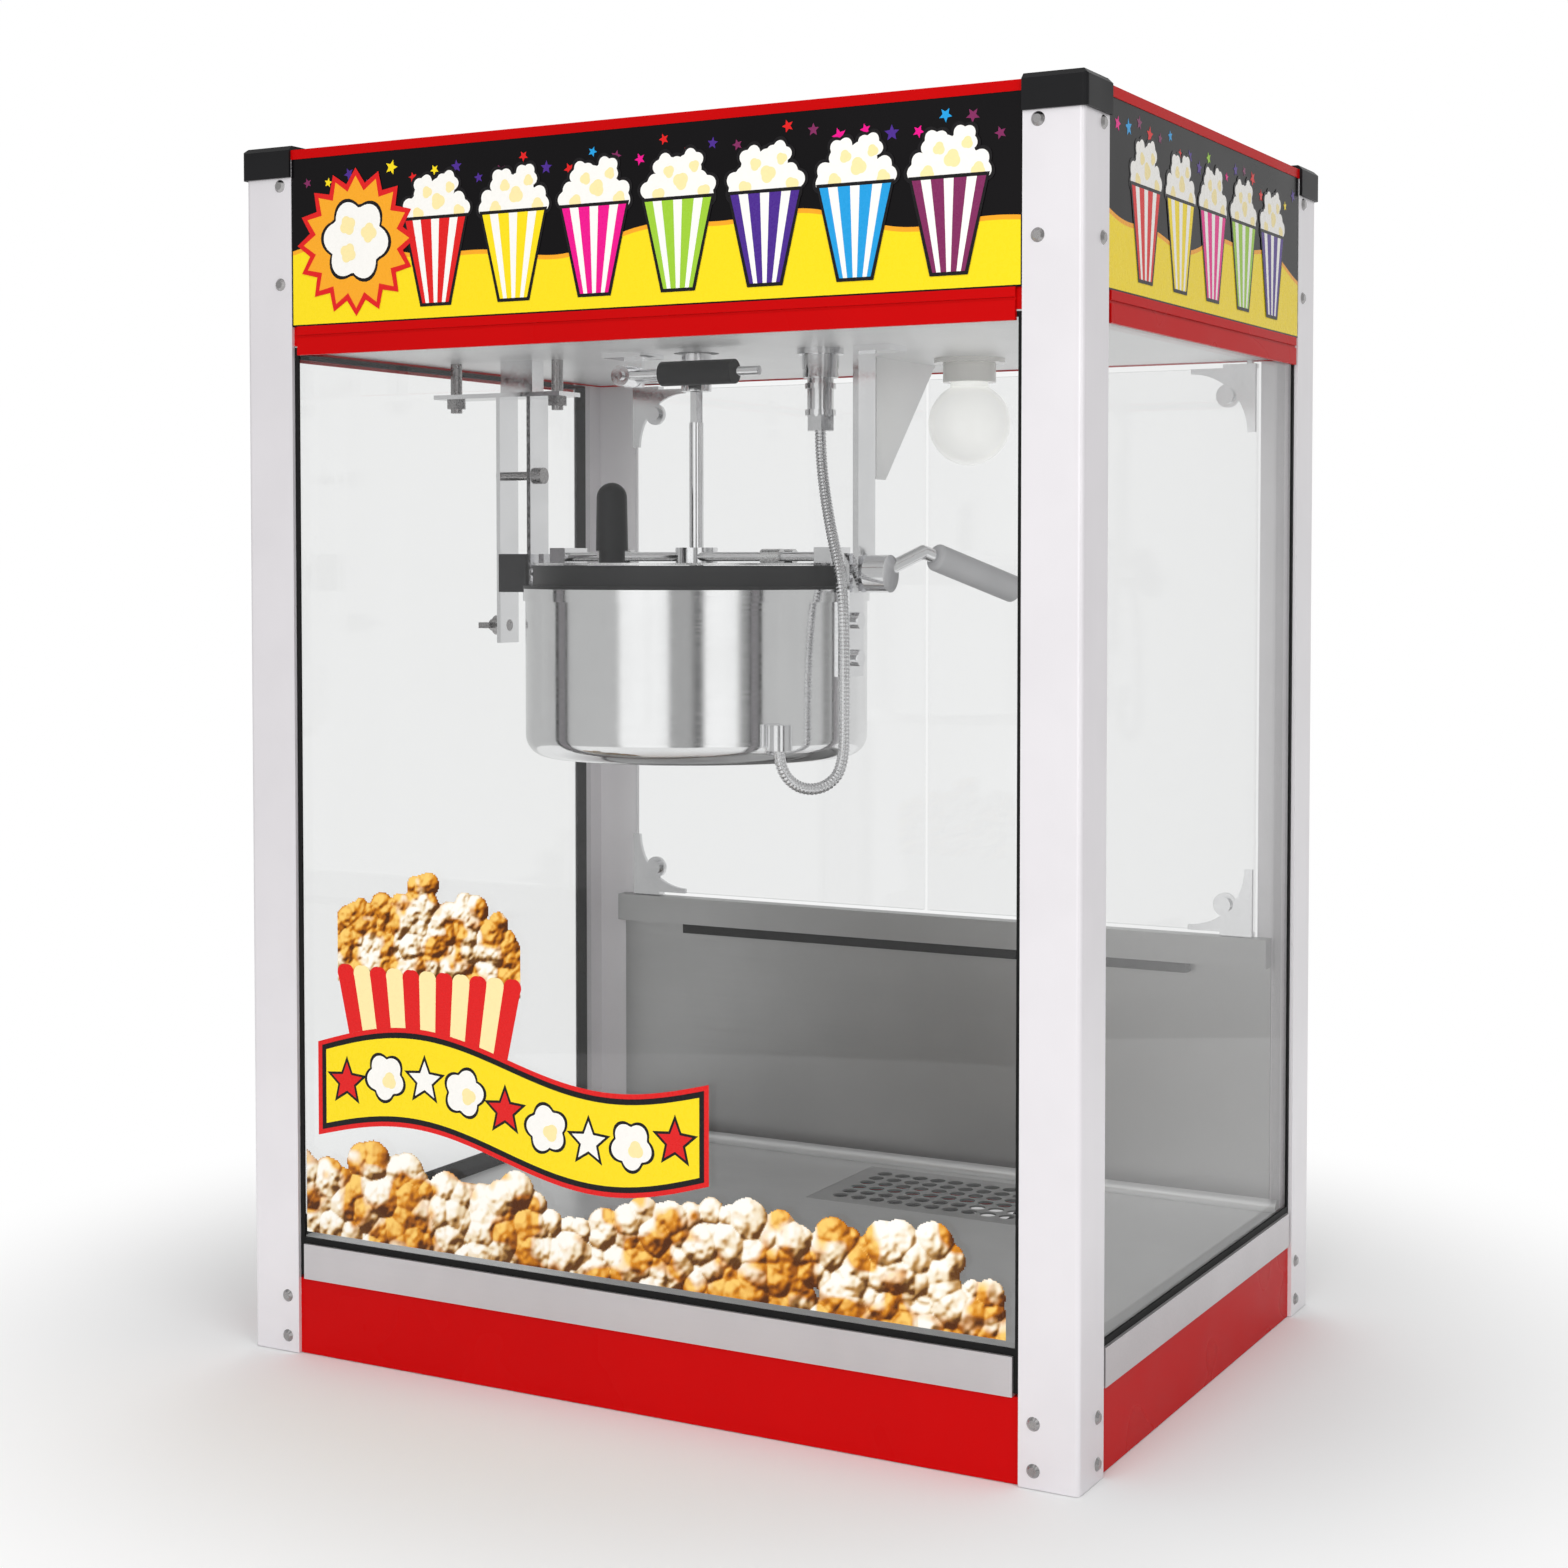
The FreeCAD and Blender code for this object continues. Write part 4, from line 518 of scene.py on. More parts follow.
@dataclass
class Print:
    """Film on a panel, gathered patch by patch in numbered layers, each a little further out."""

    panel: Panel
    base: float = 0.0001
    step: float = 0.00004
    hair: float = 0.000002
    points: list[Array] = field(default_factory=list)
    faces: list[Array] = field(default_factory=list)
    inks: list[Array] = field(default_factory=list)
    count: int = 0

    def add(self, layer: int, x: Array, z: Array, faces: Array, ink: Array | Colour) -> None:
        """Add one patch.

        Args:
            layer: Layer that it lies in, 0 the lowest.
            x: Level places of its points.
            z: Heights of its points.
            faces: Point numbers of its faces.
            ink: One colour, or one for each point.
        """
        spots = self.panel.place(x, z, self.base + layer * self.step + len(self.points) * self.hair)
        self.points.append(spots)
        self.faces.append(faces + self.count)
        self.inks.append(np.broadcast_to(np.asarray(ink, float), (len(spots), 3)))
        self.count += len(spots)

    def blot(self, layer: int, x: float, z: float, edge: Array, ink: Tint, turn: float = 0.0) -> None:
        """Closed patch, a fan from its middle to its edge.

        Args:
            layer: Layer that it lies in.
            x: Level place of its middle.
            z: Height of its middle.
            edge: Radius at each of a round of even angles.
            ink: Its colour.
            turn: Angle of the first radius.
        """
        angle = np.linspace(0.0, math.tau, len(edge), endpoint=False) + turn
        across = x + np.append(0.0, edge * np.cos(angle))
        up = z + np.append(0.0, edge * np.sin(angle))
        self.add(layer, across, up, fan_faces(len(edge)), ink.value)

    def band(self, layer: int, x: Array, low: Array, high: Array, ink: Tint) -> None:
        """Patch between a lower and an upper line over the same places."""
        self.add(layer, np.stack([x, x]), np.stack([low, high]), grid_faces(2, len(x)), ink.value)

    def taper(self, layer: int, x: Pair, low: Pair, high: Pair, ink: Tint) -> None:
        """Four-cornered patch from a lower level edge to an upper one.

        Args:
            layer: Layer that it lies in.
            x: Middle of the lower and of the upper edge.
            low: Height and half width of the lower edge.
            high: Height and half width of the upper edge.
            ink: Its colour.
        """
        across = np.array([x[0] - low[1], x[0] + low[1], x[1] + high[1], x[1] - high[1]])
        up = np.array([low[0], low[0], high[0], high[0]])
        self.add(layer, across, up, np.array([[0, 1, 2, 3]]), ink.value)

    def build(self, name: str, body: str, slot: str) -> bpy.types.Object:
        """Make the film's mesh with its ink attribute, and ride it on a body.

        Args:
            name: Name of the piece.
            body: Body of the frame that carries it.
            slot: Not used.

        Returns:
            The film's object.
        """
        piece = solid_object(name, np.concatenate(self.points), self.faces, smooth=False)
        inks = np.concatenate(self.inks)
        attribute = piece.data.color_attributes.new(Printed.ATTRIBUTE, "FLOAT_COLOR", "POINT")
        attribute.data.foreach_set("color", np.column_stack([inks, np.ones(len(inks))]).ravel())
        piece.data.materials.append(Finishes.get(Finishes.PRINT))
        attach(piece, body)
        log.info("%s: %d points", name, len(inks))
        return piece


def puff_edge(radius: float, lobes: int, phase: float, spokes: int = 64) -> Array:
    """Scalloped edge: radius (0.78 + 0.22 |cos(lobes angle / 2 + phase)|)."""
    angle = np.linspace(0.0, math.tau, spokes, endpoint=False)
    return radius * (0.78 + 0.22 * np.abs(np.cos(lobes * angle / 2 + phase)))


def star_edge(radius: float, tips: int, waist: float) -> Array:
    """Star whose edge goes straight from each tip to its waist and back; gives the radius at each in turn."""
    return radius * np.where(np.arange(2 * tips) % 2 == 0, 1.0, waist)


def smooth_field(draw: np.random.Generator, x: Array, z: Array, size: float) -> Array:
    """Smooth random field from 0 to 1.

    Args:
        draw: Seeded source of numbers.
        x: Level places.
        z: Heights.
        size: Distance between the field's lattice points.

    Returns:
        Lattice values blended along x and z by the weight 3 t^2 - 2 t^3.
    """
    across = (x - x.min()) / size
    up = (z - z.min()) / size
    lattice = draw.random((int(across.max()) + 2, int(up.max()) + 2))
    column = across.astype(int)
    row = up.astype(int)
    part_x = across - column
    part_z = up - row
    weight_x = part_x ** 2 * (3.0 - 2.0 * part_x)
    weight_z = part_z ** 2 * (3.0 - 2.0 * part_z)
    low = lattice[column, row] * (1.0 - weight_x) + lattice[column + 1, row] * weight_x
    high = lattice[column, row + 1] * (1.0 - weight_x) + lattice[column + 1, row + 1] * weight_x
    return low * (1.0 - weight_z) + high * weight_z


def ramp(value: Array, stops: Stops) -> Array:
    """Colour along a run of stops.

    Args:
        value: Places along the run.
        stops: Places of the stops, each with its colour.

    Returns:
        Red, green and blue for each value, along a last axis.
    """
    marks = [mark for mark, _ in stops]
    parts = [np.interp(value, marks, [ink[part] for _, ink in stops]) for part in range(3)]
    return np.stack(parts, axis=-1)


@dataclass(frozen=True)
class Waves:
    """Line of added sines: level + size sin(rate x + phase) for each wave's size, rate and phase."""

    level: float
    parts: tuple[Point, ...]

    def at(self, x: Array) -> Array:
        """Height of the line.

        Args:
            x: Places along the line.

        Returns:
            Height at each place.
        """
        line = np.full_like(x, self.level)
        for size, rate, phase in self.parts:
            line = line + size * np.sin(rate * x + phase)
        return line


@dataclass
class PoppedCorn:
    """Painted heap of popped corn: crumpled round lobes lit from the upper left, glazed in patches."""

    pitch: float = 0.0009
    puff_gap: float = 0.022
    lobe_radius: Pair = (0.0045, 0.0105)
    lobes: int = 8
    spread: float = 0.0115
    crumple: float = 0.0032
    crumple_size: float = 0.0042
    glaze_size: float = 0.013
    glaze_start: float = 0.56
    glaze_fade: float = 0.16
    lift: float = 0.007
    bulge: float = 1.2
    jitter: float = 0.006
    margin: float = 0.009
    shade_height: float = 0.009
    shade_floor: float = 0.25
    headroom: float = 0.008
    light: Point = (-0.42, 0.66, 0.62)
    seed: int = 11
    pale: Stops = (
        (0.0, srgb(96, 58, 22)), (0.25, srgb(186, 140, 78)),
        (0.5, srgb(238, 220, 186)), (0.85, srgb(255, 252, 244)))
    glazed: Stops = (
        (0.0, srgb(82, 40, 6)), (0.3, srgb(160, 88, 12)),
        (0.6, srgb(216, 138, 28)), (0.95, srgb(250, 206, 110)))

    def relief(self, draw: np.random.Generator, x: Array, z: Array, spots: Array) -> Array:
        """Height of the heap: the highest of round lobes strewn about each spot.

        Args:
            draw: Seeded source of numbers.
            x: Level places.
            z: Heights on the film.
            spots: Middle of each puff, one row for each.

        Returns:
            Height out from the film at each place, or 0 where no lobe reaches.
        """
        height = np.zeros_like(x)
        for spot_x, spot_z in spots:
            base = draw.uniform(0.0, self.lift)
            for lobe in range(self.lobes):
                angle = math.tau * lobe / self.lobes + draw.uniform(-0.5, 0.5)
                reach = self.spread * draw.uniform(0.3, 1.0)
                radius = draw.uniform(*self.lobe_radius)
                gap_x = x - spot_x - reach * math.cos(angle)
                gap_z = z - spot_z - reach * math.sin(angle)
                ball = np.sqrt(np.clip(radius ** 2 - (gap_x ** 2 + gap_z ** 2), 0.0, None))
                height = np.maximum(height, np.where(ball > 0.0, base + self.bulge * ball, 0.0))
        return height

    def shading(self, draw: np.random.Generator, x: Array, z: Array, height: Array) -> Array:
        """Ink of the heap: pale and glazed ramps, mixed in patches, by how far the light meets the surface.

        Args:
            draw: Seeded source of numbers.
            x: Level places.
            z: Heights on the film.
            height: Height out from the film at each place.

        Returns:
            Red, green and blue at each place, along a last axis.
        """
        rough = smooth_field(draw, x, z, self.crumple_size)
        rough = rough + 0.5 * smooth_field(draw, x, z, 0.5 * self.crumple_size)
        slope_z, slope_x = np.gradient(height + self.crumple * rough, self.pitch)
        normal = np.stack([-slope_x, -slope_z, np.ones_like(height)])
        lit = np.tensordot(np.array(self.light), normal / np.linalg.norm(normal, axis=0), axes=1)
        lit = np.clip(lit, 0.0, 1.0) * np.clip(height / self.shade_height, self.shade_floor, 1.0)
        patch = smooth_field(draw, x, z, self.glaze_size)
        patch = patch + 0.35 * smooth_field(draw, x, z, 0.4 * self.glaze_size)
        share = np.clip((patch - self.glaze_start) / self.glaze_fade, 0.0, 1.0)[..., None]
        return ramp(lit, self.pale) * (1.0 - share) + ramp(lit, self.glazed) * share

    def paint(self, film: Print, layer: int, x: Array, low: Array, high: Array) -> None:
        """Paint a heap between two lines.

        Args:
            film: Film to print on.
            layer: Layer that it lies in.
            x: Places along the heap.
            low: Lower edge of the heap at each place.
            high: Upper edge of the heap at each place.
        """
        draw = np.random.default_rng(self.seed)
        across = np.arange(x[0], x[-1], self.pitch)
        up = np.arange(low.min(), high.max() + self.headroom, self.pitch)
        flat_x, flat_z = np.meshgrid(across, up)
        columns = np.arange(x[0], x[-1], 0.7 * self.puff_gap)
        rows = np.arange(low.min(), high.max(), 0.6 * self.puff_gap)
        spots = np.stack([part.ravel() for part in np.meshgrid(columns, rows)], axis=1)
        spots = spots + draw.uniform(-self.jitter, self.jitter, spots.shape)
        inside = spots[:, 1] < np.interp(spots[:, 0], x, high) - self.margin
        height = self.relief(draw, flat_x, flat_z, spots[inside])
        ink = self.shading(draw, flat_x, flat_z, height)
        covered = height > 0.0
        used = covered[:-1, :-1] & covered[1:, :-1] & covered[:-1, 1:] & covered[1:, 1:]
        quads = grid_faces(len(up), len(across))[used.ravel()]
        kept, numbers = np.unique(quads, return_inverse=True)
        film.add(layer, flat_x.ravel()[kept], flat_z.ravel()[kept], numbers.reshape(quads.shape),
                 ink.reshape(-1, 3)[kept])


@dataclass
class Cabinet:
    """Posts, rails, base, deck, glass and the panels that close the machine."""

    sheets: tuple[str, ...] = ("rear_lower_panel", "rear_control_panel")
    switches: tuple[str, ...] = ("heat_switch", "stir_switch", "lamp_switch")

    def dress(self) -> None:
        """Give each fixed panel and rail its finish."""
        Finishes.dress({
            Finishes.POST: ("post_front_left", "post_front_right"),
            # Rear posts: paler copy of the post finish, painted light against the shade they stand in.
            Finishes.REAR_POST_PAINTED_LIGHT: ("post_rear_left", "post_rear_right"),
            Finishes.SILL: ("sill_rails",),
            Finishes.CEILING: ("ceiling_plate", "lamp_shield"),
            Finishes.SHEET: self.sheets,
            Finishes.DECK: ("floor_deck",),
            Finishes.SCREEN: ("kernel_screen",),
            # Crumb drawer: near black as painted shade, seen through the kernel screen's holes.
            Finishes.DARK_IRON_AND_PAINTED_SHADE: ("crumb_drawer",),
            Finishes.RED: ("base_tray", "header_rails", "top_cover"),
            Finishes.BLACK: ("corner_caps", "mains_inlet", *self.switches),
            Finishes.RUBBER: ("glass_seals",),
            Finishes.SCREW: ("post_screws",),
            Finishes.GLASS: ("front_glass", "left_glass", "right_glass"),
            Finishes.DOOR: ("left_door", "right_door"),
            Finishes.CAST: ("left_door_hinges", "right_door_hinges"),
            Finishes.CERAMIC: ("lamp_holder",),
            Finishes.BULB: ("lamp_bulb",)})
        log.info("cabinet dressed")


@dataclass
class Kettle:
    """Hanging kettle with its lids, hangers and tilt handle."""

    bars: tuple[str, ...] = (
        "left_hanger", "right_hanger", "kettle_ears", "handle_arm", "lid_crossbar")

    def dress(self) -> None:
        """Give the kettle's nodes their finishes."""
        Finishes.dress({
            Finishes.SHELL: ("kettle_shell",),
            Finishes.PAN: ("kettle_pan",),
            Finishes.LID: ("front_lid", "rear_lid"),
            Finishes.BAR: self.bars,
            Finishes.SCREW: ("hanger_bolts",),
            Finishes.BLACK: ("lid_knob",),
            Finishes.GRIP: ("handle_grip",),
            Finishes.DARK_IRON_AND_PAINTED_SHADE: ("left_bearing_block",),
            Finishes.SHEATH: ("heater_element",),
            Finishes.CERAMIC: ("thermostat",),
            Finishes.CAST: ("kettle_gland",)})
        log.info("kettle dressed")


@dataclass
class StirDrive:
    """Motor, coupling, shaft, stirrer and the lever that lifts the coupling."""

    bars: tuple[str, ...] = (
        "lever_arm", "lever_bracket", "stirrer_shaft", "stirrer_blade", "motor_output", "coupling_sleeve")

    def dress(self) -> None:
        """Give the drive's nodes their finishes."""
        Finishes.dress({
            Finishes.BAR: self.bars,
            Finishes.BLACK: ("lever_grip",),
            Finishes.MOTOR: ("gear_motor",)})
        log.info("drive dressed")


@dataclass
class HeaterLead:
    """Ribbed metal sleeve of the heater's wires, from the socket plug to the kettle's gland."""

    diameter: float = 0.0075
    length: float = 0.287
    rib_pitch: float = 0.0024
    rib_depth: float = 0.00045
    sides: int = 14
    samples: int = 6
    smoothness: int = 24
    loop_square: Point = (0.76, -0.65, 0.05)
    route: tuple[Point, ...] = (
        (0.030, -0.022, 0.592), (0.030, -0.022, 0.574), (0.043, -0.035, 0.533), (0.061, -0.052, 0.497),
        (0.0655, -0.057, 0.460), (0.0663, -0.0588, 0.420), (0.066, -0.0585, 0.378), (0.0577, -0.0682, 0.3653),
        (0.046, -0.0818, 0.3653), (0.0377, -0.0915, 0.378), (0.0377, -0.0915, 0.390))

    def line(self) -> Array:
        """Points of the smooth spline that has the route as its control points.

        Returns:
            One row of x, y and z for each point.
        """
        curve = bpy.data.curves.new("heater_lead_line", "CURVE")
        curve.dimensions = "3D"
        curve.resolution_u = self.smoothness
        spline = curve.splines.new("NURBS")
        spline.points.add(len(self.route) - 1)
        spline.points.foreach_set("co", np.column_stack([self.route, np.ones(len(self.route))]).ravel())
        spline.order_u = 3
        spline.use_endpoint_u = True
        holder = bpy.data.objects.new("heater_lead_line", curve)
        mesh = bpy.data.meshes.new_from_object(holder)
        points = np.empty(3 * len(mesh.vertices))
        mesh.vertices.foreach_get("co", points)
        bpy.data.objects.remove(holder)
        bpy.data.curves.remove(curve)
        bpy.data.meshes.remove(mesh)
        return points.reshape(-1, 3)

    def tube(self, line: Array, run: Array) -> tuple[Array, list[Array]]:
        """Ring of points carried along a line; its radius dips between ribs as a cosine of the length run.

        Args:
            line: Points of the sleeve's middle line.
            run: Length from the line's start to each of its points.

        Returns:
            Points of the sleeve, and its faces with both ends closed.
        """
        rings = int(run[-1] / self.rib_pitch * self.samples) + 1
        place = np.linspace(0.0, run[-1], rings)
        centre = np.stack([np.interp(place, run, line[:, axis]) for axis in range(3)], axis=1)
        along = np.gradient(centre, axis=0)
        along = along / np.linalg.norm(along, axis=1, keepdims=True)
        # No run of the route lies along the direction that is square to the loop's upright plane.
        side = np.cross(along, np.array(self.loop_square))
        side = side / np.linalg.norm(side, axis=1, keepdims=True)
        other = np.cross(along, side)
        angle = np.linspace(0.0, math.tau, self.sides, endpoint=False)
        dip = self.rib_depth * (0.5 - 0.5 * np.cos(math.tau * place / self.rib_pitch))
        radius = (self.diameter / 2 - dip)[:, None, None]
        ring = np.cos(angle)[None, :, None] * side[:, None, :]
        ring = ring + np.sin(angle)[None, :, None] * other[:, None, :]
        points = (centre[:, None, :] + radius * ring).reshape(-1, 3)
        points = np.concatenate([points, centre[:1], centre[-1:]])
        first = fan_faces(self.sides)[:, [0, 2, 1]] - 1
        first[:, 0] = rings * self.sides
        last = fan_faces(self.sides) - 1 + (rings - 1) * self.sides
        last[:, 0] = rings * self.sides + 1
        return points, [grid_faces(rings, self.sides, True), first, last]

    def build(self) -> bpy.types.Object:
        """Make the sleeve, hide the frame's own lead, and dress its socket and plug.

        Returns:
            The sleeve's object.
        """
        line = self.line()
        run = np.append(0.0, np.cumsum(np.linalg.norm(np.diff(line, axis=0), axis=1)))
        piece = solid_object("heater_lead_sleeve", *self.tube(line, run))
        piece.data.materials.append(Finishes.get(Finishes.LEAD))
        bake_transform(piece)
        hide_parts("heater_lead")
        Finishes.dress({Finishes.CAST: ("heater_socket", "heater_plug")})
        log.info("heater lead: %.4f m on its spline", run[-1])
        return piece


@dataclass
class HeaderSign:
    """Printed band round the top: paper cones of popped corn on a black and yellow ground."""

    middle: float = 0.7085
    half_height: float = 0.0515
    front_half: float = 0.249
    side_half: float = 0.171
    front_face: float = 0.2075
    side_face: float = 0.2855
    front_cones: int = 7
    side_cones: int = 5
    cone_gap: float = 0.0575
    cone_shift: float = 0.034
    cone_foot: Pair = (-0.0425, 0.0098)
    cone_rim: Pair = (0.0085, 0.0224)
    outline_foot: Pair = (-0.0445, 0.0115)
    outline_rim: Pair = (0.0105, 0.0245)
    stripes: tuple[float, ...] = (-0.62, 0.0, 0.62)
    stripe_half: Pair = (0.0013, 0.003)
    puffs: tuple[Point, ...] = (
        (-0.015, 0.014, 0.0105), (0.0, 0.021, 0.0125), (0.0155, 0.014, 0.0105), (-0.008, 0.027, 0.009),
        (0.009, 0.029, 0.0085))
    puff_rim: float = 0.0022
    mound_height: float = 0.014
    mound_radius: float = 0.0185
    butter_shift: float = 0.002
    butter_share: float = 0.42
    ground_line: Waves = Waves(-0.012, ((0.007, 21.0, 0.0), (0.003, 57.0, 1.0)))
    ground_edge: float = 0.0026
    star_gap: float = 0.0165
    star_margin: float = 0.012
    star_heights: Pair = (0.030, 0.045)
    star_sizes: Pair = (0.003, 0.0052)
    star_waist: float = 0.45
    sun_x: float = -0.199
    sun_rays: int = 16
    first_seed: int = 20
    inks: tuple[Tint, ...] = (
        Tint.RED, Tint.YELLOW, Tint.MAGENTA, Tint.GREEN, Tint.VIOLET, Tint.BLUE, Tint.PLUM)

    def ground(self, film: Print, half: float) -> None:
        """Yellow foot whose upper edge is two waves added together.

        Args:
            film: Film to print on.
            half: Half width of the band.
        """
        x = np.linspace(-half, half, 121)
        high = self.ground_line.at(x)
        film.band(0, x, np.full_like(x, -self.half_height), high, Tint.YELLOW)
        film.band(0, x, high, high + self.ground_edge, Tint.GOLD)

    def cone(self, film: Print, x: float, ink: Tint, turn: float) -> None:
        """Paper cone with puffs over its rim; each has a black edge behind it.

        Args:
            film: Film to print on.
            x: Level place of the cone's middle.
            ink: Colour of the cone's paper.
            turn: Turn of the puffs' scallops.
        """
        for across, up, radius in self.puffs:
            film.blot(1, x + across, up, puff_edge(radius + self.puff_rim, 5, turn), Tint.BLACK)
            film.blot(2, x + across, up, puff_edge(radius, 5, turn), Tint.WHITE)
            butter = puff_edge(radius * self.butter_share, 3, turn)
            film.blot(3, x + across + self.butter_shift, up - self.butter_shift, butter, Tint.CREAM)
        film.blot(2, x, self.mound_height, puff_edge(self.mound_radius, 6, turn), Tint.WHITE)
        foot, half_foot = self.cone_foot
        rim, half_rim = self.cone_rim
        film.taper(4, (x, x), self.outline_foot, self.outline_rim, Tint.BLACK)
        film.taper(5, (x, x), self.cone_foot, self.cone_rim, ink)
        for share in self.stripes:
            middle = (x + share * half_foot, x + share * half_rim)
            film.taper(6, middle, (foot, self.stripe_half[0]), (rim, self.stripe_half[1]), Tint.WHITE)

    def scatter(self, film: Print, half: float, seed: int) -> None:
        """Small stars strewn over the black ground.

        Args:
            film: Film to print on.
            half: Half width of the band.
            seed: Seed of the stars' places, sizes and colours.
        """
        draw = np.random.default_rng(seed)
        end = half - self.star_margin
        for spot in np.linspace(-end, end, int(half * 2 / self.star_gap)):
            ink = self.inks[int(draw.integers(len(self.inks)))]
            up = draw.uniform(*self.star_heights)
            edge = star_edge(draw.uniform(*self.star_sizes), 5, self.star_waist)
            film.blot(0, spot, up, edge, ink, draw.uniform(0.0, 1.2))

    def burst(self, film: Print, x: float) -> None:
        """Gold sun with a red edge and one large puff on it.

        Args:
            film: Film to print on.
            x: Level place of the sun's middle.
        """
        film.blot(1, x, -0.002, star_edge(0.046, self.sun_rays, 0.8), Tint.RED)
        film.blot(2, x, -0.002, star_edge(0.041, self.sun_rays, 0.78), Tint.GOLD)
        film.blot(3, x, -0.001, puff_edge(0.0275, 6, 0.4), Tint.BLACK)
        film.blot(4, x, -0.001, puff_edge(0.0252, 6, 0.4), Tint.WHITE)
        for turn in (0.3, 2.2, 4.1):
            across = 0.0105 * math.cos(turn)
            up = 0.0105 * math.sin(turn)
            film.blot(5, x + across, up, puff_edge(0.0062, 4, turn), Tint.CREAM)

    def build(self) -> None:
        """Print the three faces of the band; the front one has a sun, and its cones make room for it."""
        Finishes.dress({Finishes.SIGN: ("sign_panels",)})
        front = Panel((0.0, -self.front_face, self.middle), (1, 0, 0), (0, -1, 0))
        right = Panel((self.side_face, 0.0, self.middle), (0, 1, 0), (1, 0, 0))
        left = Panel((-self.side_face, 0.0, self.middle), (0, -1, 0), (-1, 0, 0))
        faces = (
            ("sign_print_front", front, self.front_half, self.front_cones),
            ("sign_print_right", right, self.side_half, self.side_cones),
            ("sign_print_left", left, self.side_half, self.side_cones))
        for number, (name, panel, half, cones) in enumerate(faces):
            film = Print(panel)
            self.ground(film, half)
            self.scatter(film, half, self.first_seed + number)
            shift = self.cone_shift if panel is front else 0.0
            for place in range(cones):
                x = shift + self.cone_gap * (place - (cones - 1) / 2)
                self.cone(film, x, self.inks[place], 0.7 * place)
            if panel is front:
                self.burst(film, self.sun_x)
            film.build(name, "cabinet", "sign_print")


